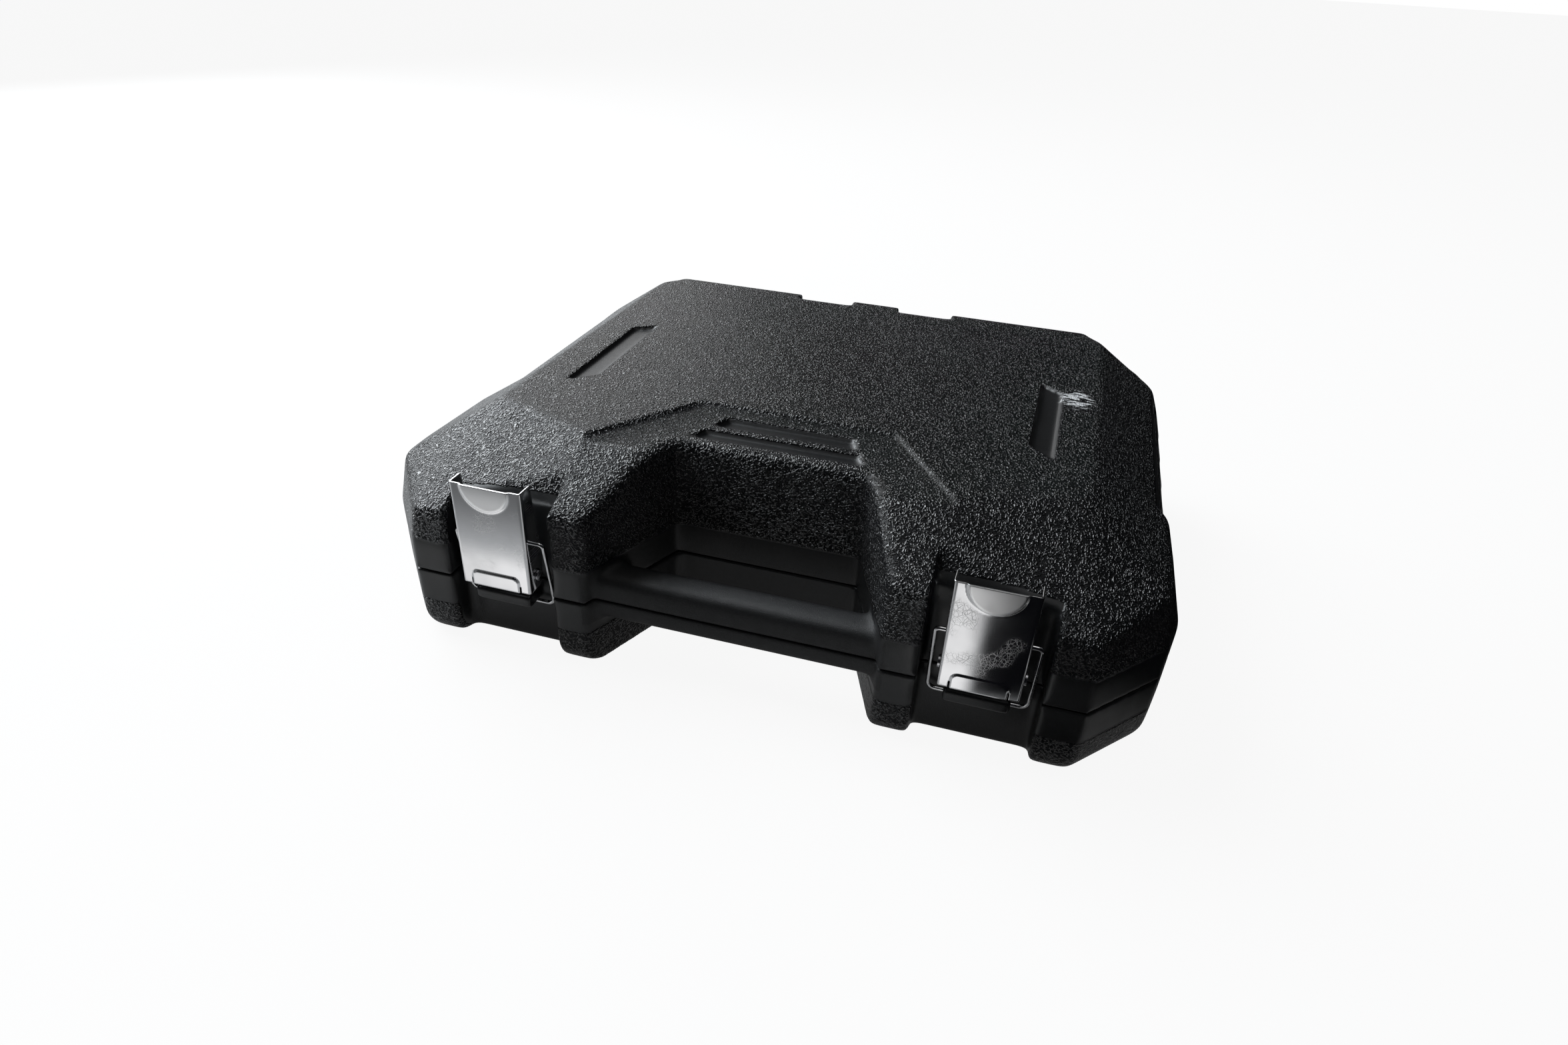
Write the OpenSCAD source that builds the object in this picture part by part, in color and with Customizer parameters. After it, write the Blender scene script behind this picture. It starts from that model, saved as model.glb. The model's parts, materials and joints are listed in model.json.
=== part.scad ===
// Socket wrench set in a blow-moulded carrying case, closed and latched.
// X runs along the case, Y from the handle to the hinge, Z up. The origin is under the middle of the case.

/* [Case] */
// Width of the case over its side walls at the parting line
case_w = 376; // [366:1:392]
// How far each front corner stands out beyond the side wall
corner_flare = 3.5; // [2:0.5:5]
// Distance of the front face from the origin
front_y = 148; // [146:0.5:150]
// Distance of the rear wall from the origin
rear_y = 146.5; // [145.5:0.5:148]
// Height of the lower half, up to the parting line
base_h = 37.3; // [36:0.1:40]
// Height of the upper half above the parting line
lid_h = 63; // [60:0.5:70]
// Height of the smooth band on each side of the parting line
band_h = 17; // [14:0.5:19]
// Half width of the flat top
top_half_w = 143.5; // [138:0.5:148]
// Height at which the sloped shoulders meet the side walls, above the parting line
shoulder_h = 36; // [30:0.5:40]
// Thickness of one moulded skin
skin = 2.5; // [1.8:0.1:3]
// Gap between the two halves at the parting line
parting_gap = 0.3; // [0.2:0.05:0.5]
// Depth of the inner recess of the lid
lid_recess_h = 37; // [34:0.5:39]
// Thickness of the rim between the outer wall and the inner recess
rim_w = 8.5; // [7:0.5:10]

/* [Hand recess and handle] */
// Half width of the hand recess at its rear wall
hand_rear_half_w = 46; // [42:0.5:50]
// Half width of the hand recess at the front face
hand_front_half_w = 69.2; // [66:0.5:73]
// Distance of the rear wall of the hand recess from the origin
hand_rear_y = 89.2; // [86:0.2:92]
// Thickness of the handle from front to back
handle_t = 19; // [16:0.5:21]
// Height of the handle above the parting line
handle_up = 13.3; // [11:0.1:15]
// Height of the handle below the parting line
handle_down = 10.6; // [9:0.1:12]
// Distance of the front of the handle from the origin
handle_front_y = 142.6; // [141:0.2:145]
// Radius of the handle's upper edges
handle_r = 6; // [4:0.5:8]

/* [Lid ornament] */
// Depth of the lowered field behind the hand recess
field_depth = 1.8; // [1:0.1:2.2]
// Depth of the two long slots
slot_depth = 2.2; // [1.5:0.1:2.6]
// Depth of the two side panels
panel_depth = 2; // [1:0.1:2.6]
// Depth of the hollows in the side walls
waist_depth = 1.8; // [1:0.1:2.2]

/* [Hinge] */
// Diameter of the steel hinge pin
hinge_pin_d = 4; // [3:0.1:5]
// Diameter of the hinge knuckles
knuckle_d = 10.8; // [9.5:0.1:11.4]
// Half width of the middle knuckle, which the lid carries
knuckle_mid_half_w = 15.6; // [13:0.1:20]
// Half width over the two knuckles of the base
knuckle_base_half_w = 49.4; // [40:0.1:52]
// Half width over the outer knuckles, which the lid carries
knuckle_outer_half_w = 60; // [56:0.5:66]
// Side gap between neighbouring knuckles
knuckle_gap = 0.6; // [0.4:0.1:1]

/* [Latches] */
// Distance of each latch from the middle of the case
latch_x = 112.1; // [110:0.1:114]
// Width of the latch lever
lever_w = 35; // [32:0.5:37]
// Height of the latch lever
lever_h = 52.6; // [48:0.2:54]
// Height of the lever's lower edge above the parting line
lever_low = 1.5; // [1:0.1:2]
// Thickness of the lever's sheet
lever_t = 0.9; // [0.7:0.1:1.2]
// Distance of the lever's face from the origin
lever_face_y = 151.4; // [151:0.1:152]
// Width of the recess that a latch sits in
latch_recess_w = 52.6; // [50:0.2:56]
// Distance of the rear wall of the latch recess from the origin
latch_recess_y = 135; // [134:0.1:135.4]
// Diameter of the latch's fulcrum pin
fulcrum_d = 4; // [3:0.1:4.4]
// Diameter of the bail's wire
wire_d = 2; // [1.6:0.1:2.4]
// Distance from the side of the lever to the middle of the bail's wire
bail_gap = 4.5; // [3.5:0.1:5]
// Width of the keeper that the bail hooks under
keeper_w = 29; // [26:0.5:32]
// Thickness of the keeper
keeper_h = 6.7; // [5:0.1:7.5]

/* [Tools] */
// Height of the pocket floors above the table
pocket_floor = 6; // [4.5:0.1:7]
// Depth of the tray's surface below the parting line
tray_drop = 1; // [0.5:0.1:2]
// Clearance round each tool in its pocket
pocket_gap = 0.3; // [0.2:0.05:0.5]
// Thickness of the floor of the base, which the trays lie on
base_floor = 3; // [2.5:0.5:4]
// Clearance between the trays, and between a tray and the wall of the base
tray_gap = 0.3; // [0.2:0.05:0.5]
// Side of the large square drive
drive_large = 12.7; // [12.6:0.05:12.8]
// Side of the small square drive
drive_small = 6.35; // [6.3:0.05:6.4]
// Length of the large ratchet
ratchet_len = 244; // [235:1:246]
// Diameter of the large ratchet's head
ratchet_head_d = 37; // [34:0.5:38]
// Diameter of the large ratchet's grip
ratchet_grip_d = 30; // [26:0.5:31]
// Length of the small ratchet
small_ratchet_len = 146; // [138:1:148]
// Diameter of the small ratchet's head
small_head_d = 24; // [21:0.5:25]
// Length of the sliding T bar
tbar_len = 240; // [220:1:244]
// Diameter of the sliding T bar
tbar_d = 12; // [10:0.5:12.5]
// Length of the long extension bar
long_ext_len = 250; // [240:1:252]
// Length of the short extension bar
short_ext_len = 125; // [110:1:126]
// Length of the spinner handle
spinner_len = 146; // [138:1:150]
// Length of the ordinary large sockets
socket_len = 38; // [36:0.5:40]
// Length of the small sockets
small_socket_len = 25; // [23:0.5:27]
// Length of the spark plug sockets
plug_socket_len = 64.5; // [60:0.5:65]

/* [Hidden] */
LARGE = [32, 30, 27, 24, 22, 21];
MEDIUM = [19, 18, 17, 16, 14, 13, 12, 10];
SMALL = [13, 12, 10, 9, 8, 7, 6];
PLUG = [21, 16];

part_z = base_h;
top_z = base_h + lid_h;
side_x = case_w / 2;
corner_x = side_x + corner_flare;
shoulder_z = part_z + shoulder_h;
ceiling_z = part_z + lid_recess_h;
tray_z = part_z - tray_drop;
eps = 0.01;
big = 600;
round_fn = 48;

// ---- small helpers ----

// Points of an arc in the plane, from angle a0 to a1
function arc(c, r, a0, a1, n = 6) =
    [for (i = [0 : n]) let (a = a0 + (a1 - a0) * i / n) c + r * [cos(a), sin(a)]];

// A right half outline joined to its mirror image, running round once
function both_halves(pts) =
    concat(pts, [for (i = [len(pts) - 1 : -1 : 0]) [-pts[i][0], pts[i][1], pts[i][2]]]);

// Unit vector of a plane vector
function unit(v) = v / norm(v);

// Point i of a loop moved inward by d, with the height kept
function inset_point(p, i, d) =
    let (n = len(p),
         a = [p[(i + n - 1) % n][0], p[(i + n - 1) % n][1]],
         b = [p[i][0], p[i][1]],
         c = [p[(i + 1) % n][0], p[(i + 1) % n][1]],
         u = unit(b - a),
         v = unit(c - b),
         m = [-u[1], u[0]] + [-v[1], v[0]])
    [b[0] + d * m[0] * 2 / (m * m), b[1] + d * m[1] * 2 / (m * m), p[i][2]];

function inset_loop(p, d) = [for (i = [0 : len(p) - 1]) inset_point(p, i, d)];

// Solid through a stack of loops that have equally many points, each made by both_halves from a half that
// runs from front to rear. Its ends are strips that run from side to side.
module loft(loops) {
    n = len(loops[0]);
    m = len(loops);
    points = [for (l = loops) for (p = l) p];
    strips = [for (i = [0 : n / 2 - 2]) [i, i + 1, n - 2 - i, n - 1 - i]];
    bottom = [for (f = strips) f];
    top = [for (f = strips) [for (j = [3 : -1 : 0]) (m - 1) * n + f[j]]];
    sides = [for (k = [0 : m - 2]) for (i = [0 : n - 1]) for (t = [0, 1])
        let (a = k * n + i, b = k * n + (i + 1) % n, c = a + n, d = b + n)
        t == 0 ? [d, b, a] : [c, d, a]];
    polyhedron(points = points, faces = concat(bottom, sides, top), convexity = 10);
}

// The same thing on the left and on the right
module left_and_right() {
    for (side = [0, 1]) mirror([side, 0, 0]) children();
}

// Cylinder along X, centred on x
module rod_x(x, y, z, d, len) {
    translate([x - len / 2, y, z]) rotate([0, 90, 0]) cylinder(d = d, h = len, $fn = round_fn);
}

// Cylinder along Y, from y to y + len
module rod_y(x, y, z, d, len) {
    translate([x, y + len, z]) rotate([90, 0, 0]) cylinder(d = d, h = len, $fn = round_fn);
}

// Profile in the YZ plane, extruded along X and centred on x
module along_x(x, len) {
    translate([x - len / 2, 0, 0]) rotate([90, 0, 90]) linear_extrude(len) children();
}

// ---- outer form of the two halves ----

rear_corner = 12;
front_corner_x = side_x - 31;
top_front_y = 100.3;
top_side_y = 79.1;
diagonal_x = 86.9;
shoulder_x = side_x - 7;
waist_front_y = -24;
waist_rear_y = 112;
// The front bows out a little between the corners, and the side walls towards the rear corners
front_bow = 0.6;
side_bow = 0.8;

// Right half of the outline at the parting line, drawn at height z and moved out by g
function wall_loop(z, draft = 0) = both_halves([
    [diagonal_x, -front_y - front_bow + draft, z],
    [front_corner_x - draft / 2, -front_y + draft, z],
    [corner_x - 5 - draft, -113, z],
    [corner_x - draft, -92, z],
    [corner_x - draft, -34, z],
    [side_x - draft, waist_front_y, z],
    [side_x + side_bow - draft, waist_rear_y, z],
    [side_x - draft, rear_y - rear_corner, z],
    [side_x - draft - rear_corner, rear_y, z]]);

// The front slope falls towards the corners of the case
slope_z0 = top_z - 20.3;
slope_z1 = top_z - 31;
shoulder_loop = both_halves([
    [diagonal_x, -front_y - front_bow + 1.3, slope_z0],
    [front_corner_x - 2, -front_y + 1.5, slope_z1],
    [corner_x - 9.5, -110, shoulder_z + 3.5],
    [corner_x - 7.5, -92, shoulder_z + 2.5],
    [corner_x - 8, -36, shoulder_z + 2],
    [shoulder_x, waist_front_y, shoulder_z],
    [shoulder_x + side_bow, waist_rear_y, shoulder_z],
    [shoulder_x - 1, rear_y - rear_corner, shoulder_z + 2],
    [shoulder_x - rear_corner, rear_y, shoulder_z + 6]]);

top_loop = both_halves([
    [diagonal_x, -top_front_y, top_z],
    [top_half_w - 7, -top_side_y - 2.9, top_z],
    [top_half_w + 0.3, -top_side_y, top_z],
    [top_half_w + 0.6, -68, top_z],
    [top_half_w + 0.8, -36, top_z],
    [top_half_w + 0.8, waist_front_y, top_z],
    [top_half_w, waist_rear_y, top_z],
    [top_half_w - 0.9, rear_y - rear_corner - 1, top_z],
    [top_half_w - rear_corner, rear_y, top_z]]);

// Inner recess of the lid, whose walls lean inward
recess_front_y = -126;
function recess_loop(z, draft, g) = both_halves([
    [front_corner_x + 2 - draft + g * 0.4, recess_front_y + draft / 3 - g, z],
    [side_x - rim_w - draft + g, -104 + draft, z],
    [side_x - rim_w - draft + g, rear_y - 20, z],
    [side_x - rim_w - 8 - draft + g * 0.4, rear_y - 13.5 - draft / 4 + g, z]]);

recess_draft = 12;
module lid_recess(g = 0) {
    difference() {
        loft([recess_loop(part_z - 1, 0, g), recess_loop(ceiling_z + g, recess_draft, g)]);
        hand_recess(rim_w - g);
    }
}

// Cut that makes the hand recess, grown by g for the skin behind it
module hand_recess(g = 0) {
    translate([0, 0, -1]) linear_extrude(big)
        polygon([
            [-hand_rear_half_w - g, -hand_rear_y + g],
            [hand_rear_half_w + g, -hand_rear_y + g],
            [hand_front_half_w + g, -front_y - 1],
            [hand_front_half_w + g, -front_y - 30],
            [-hand_front_half_w - g, -front_y - 30],
            [-hand_front_half_w - g, -front_y - 1]]);
}

// Cut that makes the recess for one latch, on the right
recess_roof = 18;
module latch_recess(g = 0) {
    along_x(latch_x, latch_recess_w + 2 * g) polygon([
        [-front_y - 30, -1],
        [-latch_recess_y + g, -1],
        [-latch_recess_y + g, top_z - 22 + g],
        [-latch_recess_y + recess_roof + g, top_z - 4 + g],
        [-latch_recess_y + recess_roof + g, top_z + 20],
        [-front_y - 30, top_z + 20]]);
}

// Notches in the rear wall of the lid for the knuckles of the base
notch_depth = 7.4;
module hinge_notch(g = 0) {
    w = knuckle_base_half_w - knuckle_mid_half_w;
    translate([knuckle_mid_half_w - g, rear_y - notch_depth - g, part_z - 1]) cube([w + 2 * g, 40, big]);
}

// Shallow hollows that run down the side walls
waist_n = 4;
waist_pitch = (waist_rear_y - waist_front_y) / waist_n;
module waist_hollows(g = 0) {
    for (i = [0 : waist_n - 1])
        translate([side_x - waist_depth - g, waist_front_y + waist_pitch * (i + 0.14) - g, -1])
            cube([20, waist_pitch * 0.72 + 2 * g, shoulder_z - 4]);
}

module parallelogram_cut(pts, z) {
    translate([0, 0, z]) linear_extrude(20) polygon(pts);
}

// ---- handle, one half in each shell ----
handle_half_w = hand_front_half_w + 0.5;
handle_y0 = -handle_front_y;
handle_y1 = -handle_front_y + handle_t;

module handle_half(h, r, g) {
    along_x(0, 2 * handle_half_w) polygon(concat(
        [[handle_y0 + g, 0], [handle_y1 - g, 0]],
        arc([handle_y1 - r, h - r], r - g, 0, 90),
        arc([handle_y0 + r, h - r], r - g, 90, 180)));
}

// ---- hinge ----
hinge_y = rear_y + 0.5;
hinge_z = part_z;
pin_fit = 0.05;

module knuckle(x0, x1) {
    rod_x((x0 + x1) / 2, hinge_y, hinge_z, knuckle_d, x1 - x0);
}

// ---- latch geometry, in the YZ plane ----
lever_y = -lever_face_y;
lever_z0 = part_z + lever_low;
lever_z1 = lever_z0 + lever_h;
fulcrum_y = lever_y + 7.9;
fulcrum_z = lever_z0 + 6.7;
bail_y = lever_y + 6.9;
bail_z = lever_z0 + 24.1;
keeper_z1 = lever_z0 - 4.3;
keeper_z0 = keeper_z1 - keeper_h;
foot_y = -latch_recess_y - wire_d / 2 - 2.2;
foot_z = keeper_z0 - wire_d / 2 - 0.4;
lug_w = 27;

module fulcrum_lug() {
    difference() {
        union() {
            rod_x(latch_x, fulcrum_y, fulcrum_z, 10, lug_w);
            translate([latch_x - lug_w / 2, fulcrum_y, fulcrum_z - 4.6])
                cube([lug_w, -latch_recess_y - fulcrum_y + 1, 9.6]);
        }
        rod_x(latch_x, fulcrum_y, fulcrum_z, fulcrum_d + 2 * pin_fit, lug_w + 2);
    }
}

// The underside of the keeper leans down towards its nose, so that the bail stays under it
module keeper() {
    along_x(latch_x, keeper_w) polygon(concat(
        [[-latch_recess_y + 1, keeper_z0 + 0.3], [-latch_recess_y + 1, keeper_z1]],
        arc([-latch_recess_y - 11.6, keeper_z1 - 1.5], 1.5, 90, 180, 4),
        arc([-latch_recess_y - 11.6, keeper_z0 - 0.4 + 1.5], 1.5, 180, 270, 4)));
}

// ---- the two shells ----
wall_gap_z = parting_gap / 2;

module case_lid() color("#1c1d1f") {
    difference() {
        union() {
            difference() {
                loft([wall_loop(part_z + wall_gap_z), wall_loop(part_z + band_h),
                      wall_loop(part_z + band_h + 0.6, 0.6), shoulder_loop, top_loop]);
                hand_recess();
                left_and_right() latch_recess();
                left_and_right() hinge_notch();
                left_and_right() waist_hollows();
                lid_recess();
                lid_void();
                lid_ornament();
            }
            translate([0, 0, part_z + wall_gap_z]) handle_half(handle_up - wall_gap_z, handle_r, 0);
            left_and_right() fulcrum_lug();
            knuckle(-knuckle_mid_half_w + knuckle_gap / 2, knuckle_mid_half_w - knuckle_gap / 2);
            left_and_right() knuckle(knuckle_base_half_w + knuckle_gap / 2, knuckle_outer_half_w);
            lid_hinge_webs();
        }
        rod_x(0, hinge_y, hinge_z, hinge_pin_d + 2 * pin_fit, 3 * knuckle_outer_half_w);
        translate([0, 0, part_z + wall_gap_z]) handle_void(handle_up - wall_gap_z);
    }
}

// Webs that join the lid's knuckles to its rear wall
module lid_hinge_webs() {
    h = knuckle_d / 2;
    for (x = [[-knuckle_mid_half_w + knuckle_gap / 2, knuckle_mid_half_w - knuckle_gap / 2],
              [knuckle_base_half_w + knuckle_gap / 2, knuckle_outer_half_w],
              [-knuckle_outer_half_w, -knuckle_base_half_w - knuckle_gap / 2]])
        translate([x[0], rear_y - 1, hinge_z + 0.5]) cube([x[1] - x[0], 1 + knuckle_d / 2 + 0.5, h + 1.5]);
}

module lid_void() {
    difference() {
        loft([inset_loop(wall_loop(part_z + wall_gap_z + skin), skin),
              inset_loop(wall_loop(part_z + band_h), skin),
              inset_loop([for (p = shoulder_loop) [p[0], p[1], p[2] - skin]], skin),
              inset_loop([for (p = top_loop) [p[0], p[1], p[2] - skin - 4]], skin)]);
        lid_recess(skin);
        hand_recess(skin);
        left_and_right() latch_recess(skin);
        left_and_right() hinge_notch(skin);
        left_and_right() waist_hollows(skin);
        translate([-knuckle_outer_half_w - 2, rear_y - 10, 0])
            cube([2 * knuckle_outer_half_w + 4, 20, part_z + 12]);
    }
}

module handle_void(h) {
    intersection() {
        translate([0, 0, skin]) handle_half(h - skin, handle_r, skin);
        translate([-hand_front_half_w + 4, -big / 2, 0]) cube([2 * hand_front_half_w - 8, big, big]);
    }
}

// Lowered field, slots and side panels on the top of the lid
field_z = top_z - field_depth;
field_x = diagonal_x + 0.4;
module lid_ornament() {
    parallelogram_cut([[-49.8, -44], [49.8, -44], [field_x, -100.7], [field_x, -front_y - 5],
                       [-field_x, -front_y - 5], [-field_x, -100.7]], field_z);
    parallelogram_cut([[-31.4, -55.3], [31.4, -55.3], [35.4, -65.7], [-35.4, -65.7]], field_z - slot_depth);
    parallelogram_cut([[-37.7, -71.8], [37.7, -71.8], [41.5, -80.6], [-41.5, -80.6]], field_z - slot_depth);
    left_and_right()
        parallelogram_cut([[124.8, -44.9], [124.9, 41.2], [113.5, 49.2], [113, -32.1]], top_z - panel_depth);
}

module case_base() color("#1c1d1f") {
    foot = 8.5;
    difference() {
        union() {
            difference() {
                loft([inset_loop(wall_loop(0), foot), inset_loop(wall_loop(2.5), foot * 0.45),
                      inset_loop(wall_loop(foot), 0.6), wall_loop(part_z - band_h),
                      wall_loop(part_z - wall_gap_z)]);
                hand_recess();
                left_and_right() latch_recess();
                left_and_right() waist_hollows();
                translate([0, 0, base_floor]) tray_prism(big, 0.5);
            }
            translate([0, 0, part_z - wall_gap_z]) mirror([0, 0, 1])
                handle_half(handle_down - wall_gap_z, 4, 0);
            left_and_right() keeper();
            left_and_right()
                knuckle(knuckle_mid_half_w + knuckle_gap / 2, knuckle_base_half_w - knuckle_gap / 2);
        }
        rod_x(0, hinge_y, hinge_z, hinge_pin_d + 2 * pin_fit, 3 * knuckle_outer_half_w);
        rod_x(0, hinge_y, hinge_z, knuckle_d + 0.8, 2 * knuckle_mid_half_w);
        left_and_right()
            rod_x((knuckle_base_half_w + knuckle_outer_half_w) / 2, hinge_y, hinge_z, knuckle_d + 0.8,
                  knuckle_outer_half_w - knuckle_base_half_w + 0.6);
        translate([0, 0, part_z - wall_gap_z]) mirror([0, 0, 1]) base_handle_void();
    }
}

module base_handle_void() {
    h = handle_down - wall_gap_z;
    intersection() {
        translate([0, 0, skin]) handle_half(h - 2 * skin, 4, skin);
        translate([-hand_front_half_w + 4, -big / 2, 0]) cube([2 * hand_front_half_w - 8, big, big]);
    }
}

// Block with the outline of the trays, inset by g from the inner recess of the lid
module tray_prism(h, g) {
    difference() {
        linear_extrude(h) polygon([for (p = recess_loop(0, 0, -g)) [p[0], p[1]]]);
        hand_recess(rim_w + g);
    }
}

// ---- tool layout ----
ratchet_y = -61;
ratchet_x0 = -side_x + 67;
tbar_y = -26;
ext_y = 3;
small_row_y = 29;
medium_row_y = 56;
large_row_y = 101;
side_tool_x = side_x - 25;
inner_tool_x = side_x - 49;
side_tool_y = -109;
universal_x = -side_x + 70;
universal_y = -95;
adapter_x = -side_x + 102;
adapter_y = -102;
row_start_x = -side_x + 20;

function large_od(s) = s <= 16 ? 22 : s * 1.18 + 3.6;
function small_od(s) = s <= 8 ? 12 : s * 1.3 + 1.8;
row_gap = 6;

// Left edge of item i of a row whose diameters are listed
function row_x(ods, i) = i == 0 ? ods[0] / 2 : row_x(ods, i - 1) + ods[i - 1] / 2 + row_gap + ods[i] / 2;

large_ods = [for (s = LARGE) large_od(s)];
medium_ods = [for (s = MEDIUM) large_od(s)];
small_ods = [for (s = SMALL) small_od(s)];
plug_ods = [for (s = PLUG) s + 7];
large_span = row_x(large_ods, len(large_ods) - 1) + large_ods[len(large_ods) - 1] / 2;

function large_x(i) = row_start_x + row_x(large_ods, i);
function medium_x(i) = row_start_x + 22 + row_x(medium_ods, i) * 1.12;
function small_x(i) = row_start_x + 66 + row_x(small_ods, i) * 1.25;
function plug_x(i) = row_start_x + large_span + row_gap + 3 + row_x(plug_ods, i);

socket_z = pocket_floor + 0.3;
small_socket_z = tray_z - small_socket_len + 8;

// Every pocket of the tray
module pockets() {
    c = 2 * pocket_gap;
    for (i = [0 : len(LARGE) - 1])
        pocket_round(large_x(i), large_row_y, large_ods[i] + c, pocket_floor);
    for (i = [0 : len(PLUG) - 1])
        pocket_round(plug_x(i), large_row_y, plug_ods[i] + c, pocket_floor);
    for (i = [0 : len(MEDIUM) - 1])
        pocket_round(medium_x(i), medium_row_y, medium_ods[i] + c, pocket_floor);
    for (i = [0 : len(SMALL) - 1])
        pocket_round(small_x(i), small_row_y, small_ods[i] + c, small_socket_z - 0.3);
    ratchet_pocket();
    small_ratchet_pocket();
    bar_pockets();
    pocket_round(universal_x, universal_y, universal_d + c, pocket_floor);
    pocket_round(universal_x, universal_y, universal_d + c + 2 * swing_room, tray_z - swing_depth);
    pocket_round(adapter_x, adapter_y, adapter_d + c, adapter_z - 0.3);
}

module pocket_round(x, y, d, z) {
    translate([x, y, z]) cylinder(d = d, h = big, $fn = round_fn);
}

// ---- foam trays, which fill the base and hold the tools ----
tray_seam_rear = 74.7;
tray_seam_front = -40.6;

// One tray, between two seams that run from side to side
module tray(y0, y1) {
    difference() {
        translate([0, 0, base_floor]) intersection() {
            tray_prism(tray_z - base_floor, 0.5 + tray_gap);
            translate([-big / 2, y0 + tray_gap / 2, 0]) cube([big, y1 - y0 - tray_gap, big]);
        }
        pockets();
    }
}

module tray_rear() color("#26272a") tray(tray_seam_rear, big);
module tray_middle() color("#26272a") tray(tray_seam_front, tray_seam_rear);
module tray_front() color("#26272a") tray(-big, tray_seam_front);

// ---- hinge pin ----
module hinge_pin() color("#b9bbbe") {
    rod_x(0, hinge_y, hinge_z, hinge_pin_d, 2 * knuckle_outer_half_w - 2);
}

// ---- latches, drawn on the right ----
bulge_w = 24;
bulge_h = 17;
bulge_out = 1;
flange_top_d = 9;
flange_low_d = 13.2;
tab_w = 24;
tab_h = 7.5;

module lever_flange(x) {
    along_x(x, lever_t) difference() {
        polygon([
            [lever_y, lever_z0], [lever_y, lever_z1], [lever_y + flange_top_d, lever_z1],
            [lever_y + flange_low_d - 1, lever_z0 + lever_h * 0.45], [lever_y + flange_low_d, lever_z0 + 8],
            [lever_y + flange_low_d - 2, lever_z0 + 2.5], [lever_y + flange_low_d - 6, lever_z0]]);
        translate([bail_y, bail_z]) circle(d = wire_d + 2 * pin_fit, $fn = round_fn);
        translate([fulcrum_y, fulcrum_z]) circle(d = fulcrum_d + 2 * pin_fit, $fn = round_fn);
    }
}

module latch_lever() {
    flange_x = lever_w / 2 - lever_t / 2;
    difference() {
        translate([latch_x - lever_w / 2, lever_y, lever_z0]) cube([lever_w, lever_t, lever_h]);
        for (s = [-1, 1])
            translate([latch_x + s * (tab_w / 2 + 0.6) - 0.6, lever_y - 1, lever_z0 - 1])
                cube([1.2, 4, tab_h * 0.6]);
    }
    for (s = [-1, 1]) lever_flange(latch_x + s * flange_x);
    thumb_bulge();
    translate([latch_x - tab_w / 2, lever_y - 0.6, lever_z0]) cube([tab_w, 0.8, tab_h]);
}

// Half round pad pressed out of the top of the lever, fullest at the edge that the thumb pulls
module thumb_bulge() {
    intersection() {
        translate([latch_x, lever_y + 0.3, lever_z1]) rotate([90, 0, 0])
            cylinder(h = bulge_out + 0.3, r1 = bulge_w / 2 + 1, r2 = bulge_w / 2 - 1.5, $fn = round_fn);
        translate([latch_x - lever_w / 2, lever_y - 5, lever_z1 - bulge_h]) cube([lever_w, 10, bulge_h]);
    }
}

module latch_pin() {
    rod_x(latch_x, fulcrum_y, fulcrum_z, fulcrum_d, lever_w + 1);
    for (s = [-1, 1]) rod_x(latch_x + s * (lever_w / 2 + 0.7), fulcrum_y, fulcrum_z, fulcrum_d + 1.6, 1);
}

bend_r = 4;
bail_x = lever_w / 2 + bail_gap;
bail_lean = atan2(foot_y - bail_y, bail_z - foot_z);
bail_len = norm([foot_y - bail_y, foot_z - bail_z]);

// Wire loop in its own plane: u across, v down from its pivots
module bail_half_wire() {
    end_u = lever_w / 2 - lever_t - 1.6;
    translate([end_u, 0, 0]) rotate([0, 90, 0])
        cylinder(d = wire_d, h = bail_x - bend_r / 2 - end_u, $fn = round_fn);
    translate([bail_x - bend_r / 2, 0, -bend_r / 2]) rotate([90, 0, 0])
        rotate_extrude(angle = 90, $fn = round_fn) translate([bend_r / 2, 0]) circle(d = wire_d, $fn = 24);
    translate([bail_x, 0, -bail_len + bend_r])
        cylinder(d = wire_d, h = bail_len - bend_r * 1.5, $fn = round_fn);
    translate([bail_x - bend_r, 0, -bail_len + bend_r]) rotate([90, 0, 0])
        rotate_extrude(angle = -90, $fn = round_fn) translate([bend_r, 0]) circle(d = wire_d, $fn = 24);
    translate([-eps, 0, -bail_len]) rotate([0, 90, 0])
        cylinder(d = wire_d, h = bail_x - bend_r + eps, $fn = round_fn);
}

module latch_bail() {
    translate([latch_x, bail_y, bail_z]) rotate([bail_lean, 0, 0]) {
        bail_half_wire();
        mirror([1, 0, 0]) bail_half_wire();
    }
}

module latch_lever_right() color("#d5d7da") latch_lever();
module latch_lever_left() color("#d5d7da") mirror([1, 0, 0]) latch_lever();
module latch_bail_right() color("#c9cbce") latch_bail();
module latch_bail_left() color("#c9cbce") mirror([1, 0, 0]) latch_bail();
module latch_pin_right() color("#bfc1c4") latch_pin();
module latch_pin_left() color("#bfc1c4") mirror([1, 0, 0]) latch_pin();

// ---- pockets of the tools that lie down ----
ratchet_z = 32;
head_h = 22;
head_z0 = ratchet_z - head_h / 2;
head_z1 = ratchet_z + head_h / 2;
head_x = ratchet_x0 + ratchet_head_d / 2;
square_len = 14.7;
grip_len = 118;
grip_x1 = ratchet_x0 + ratchet_len;
neck_d = 13;

small_z = 30;
small_head_h = 14;
small_head_y = side_tool_y + small_head_d / 2;
small_square_len = 8;
small_grip_len = 76;
small_grip_d = 22;
small_neck_d = 8;

tbar_z = 32;
tbar_head_d = 24;
tbar_head_h = 20;
tbar_travel = 80;
extension_z = 30;
extension_d = 12.5;
extension_end_d = 22;
extension_end_len = 32;
cone_len = 4;
small_extension_len = 100;
small_extension_d = 8;
small_extension_end_d = 11.6;
spinner_grip_d = 26;
spinner_grip_len = 95;
spinner_shaft_d = 7;

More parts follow.
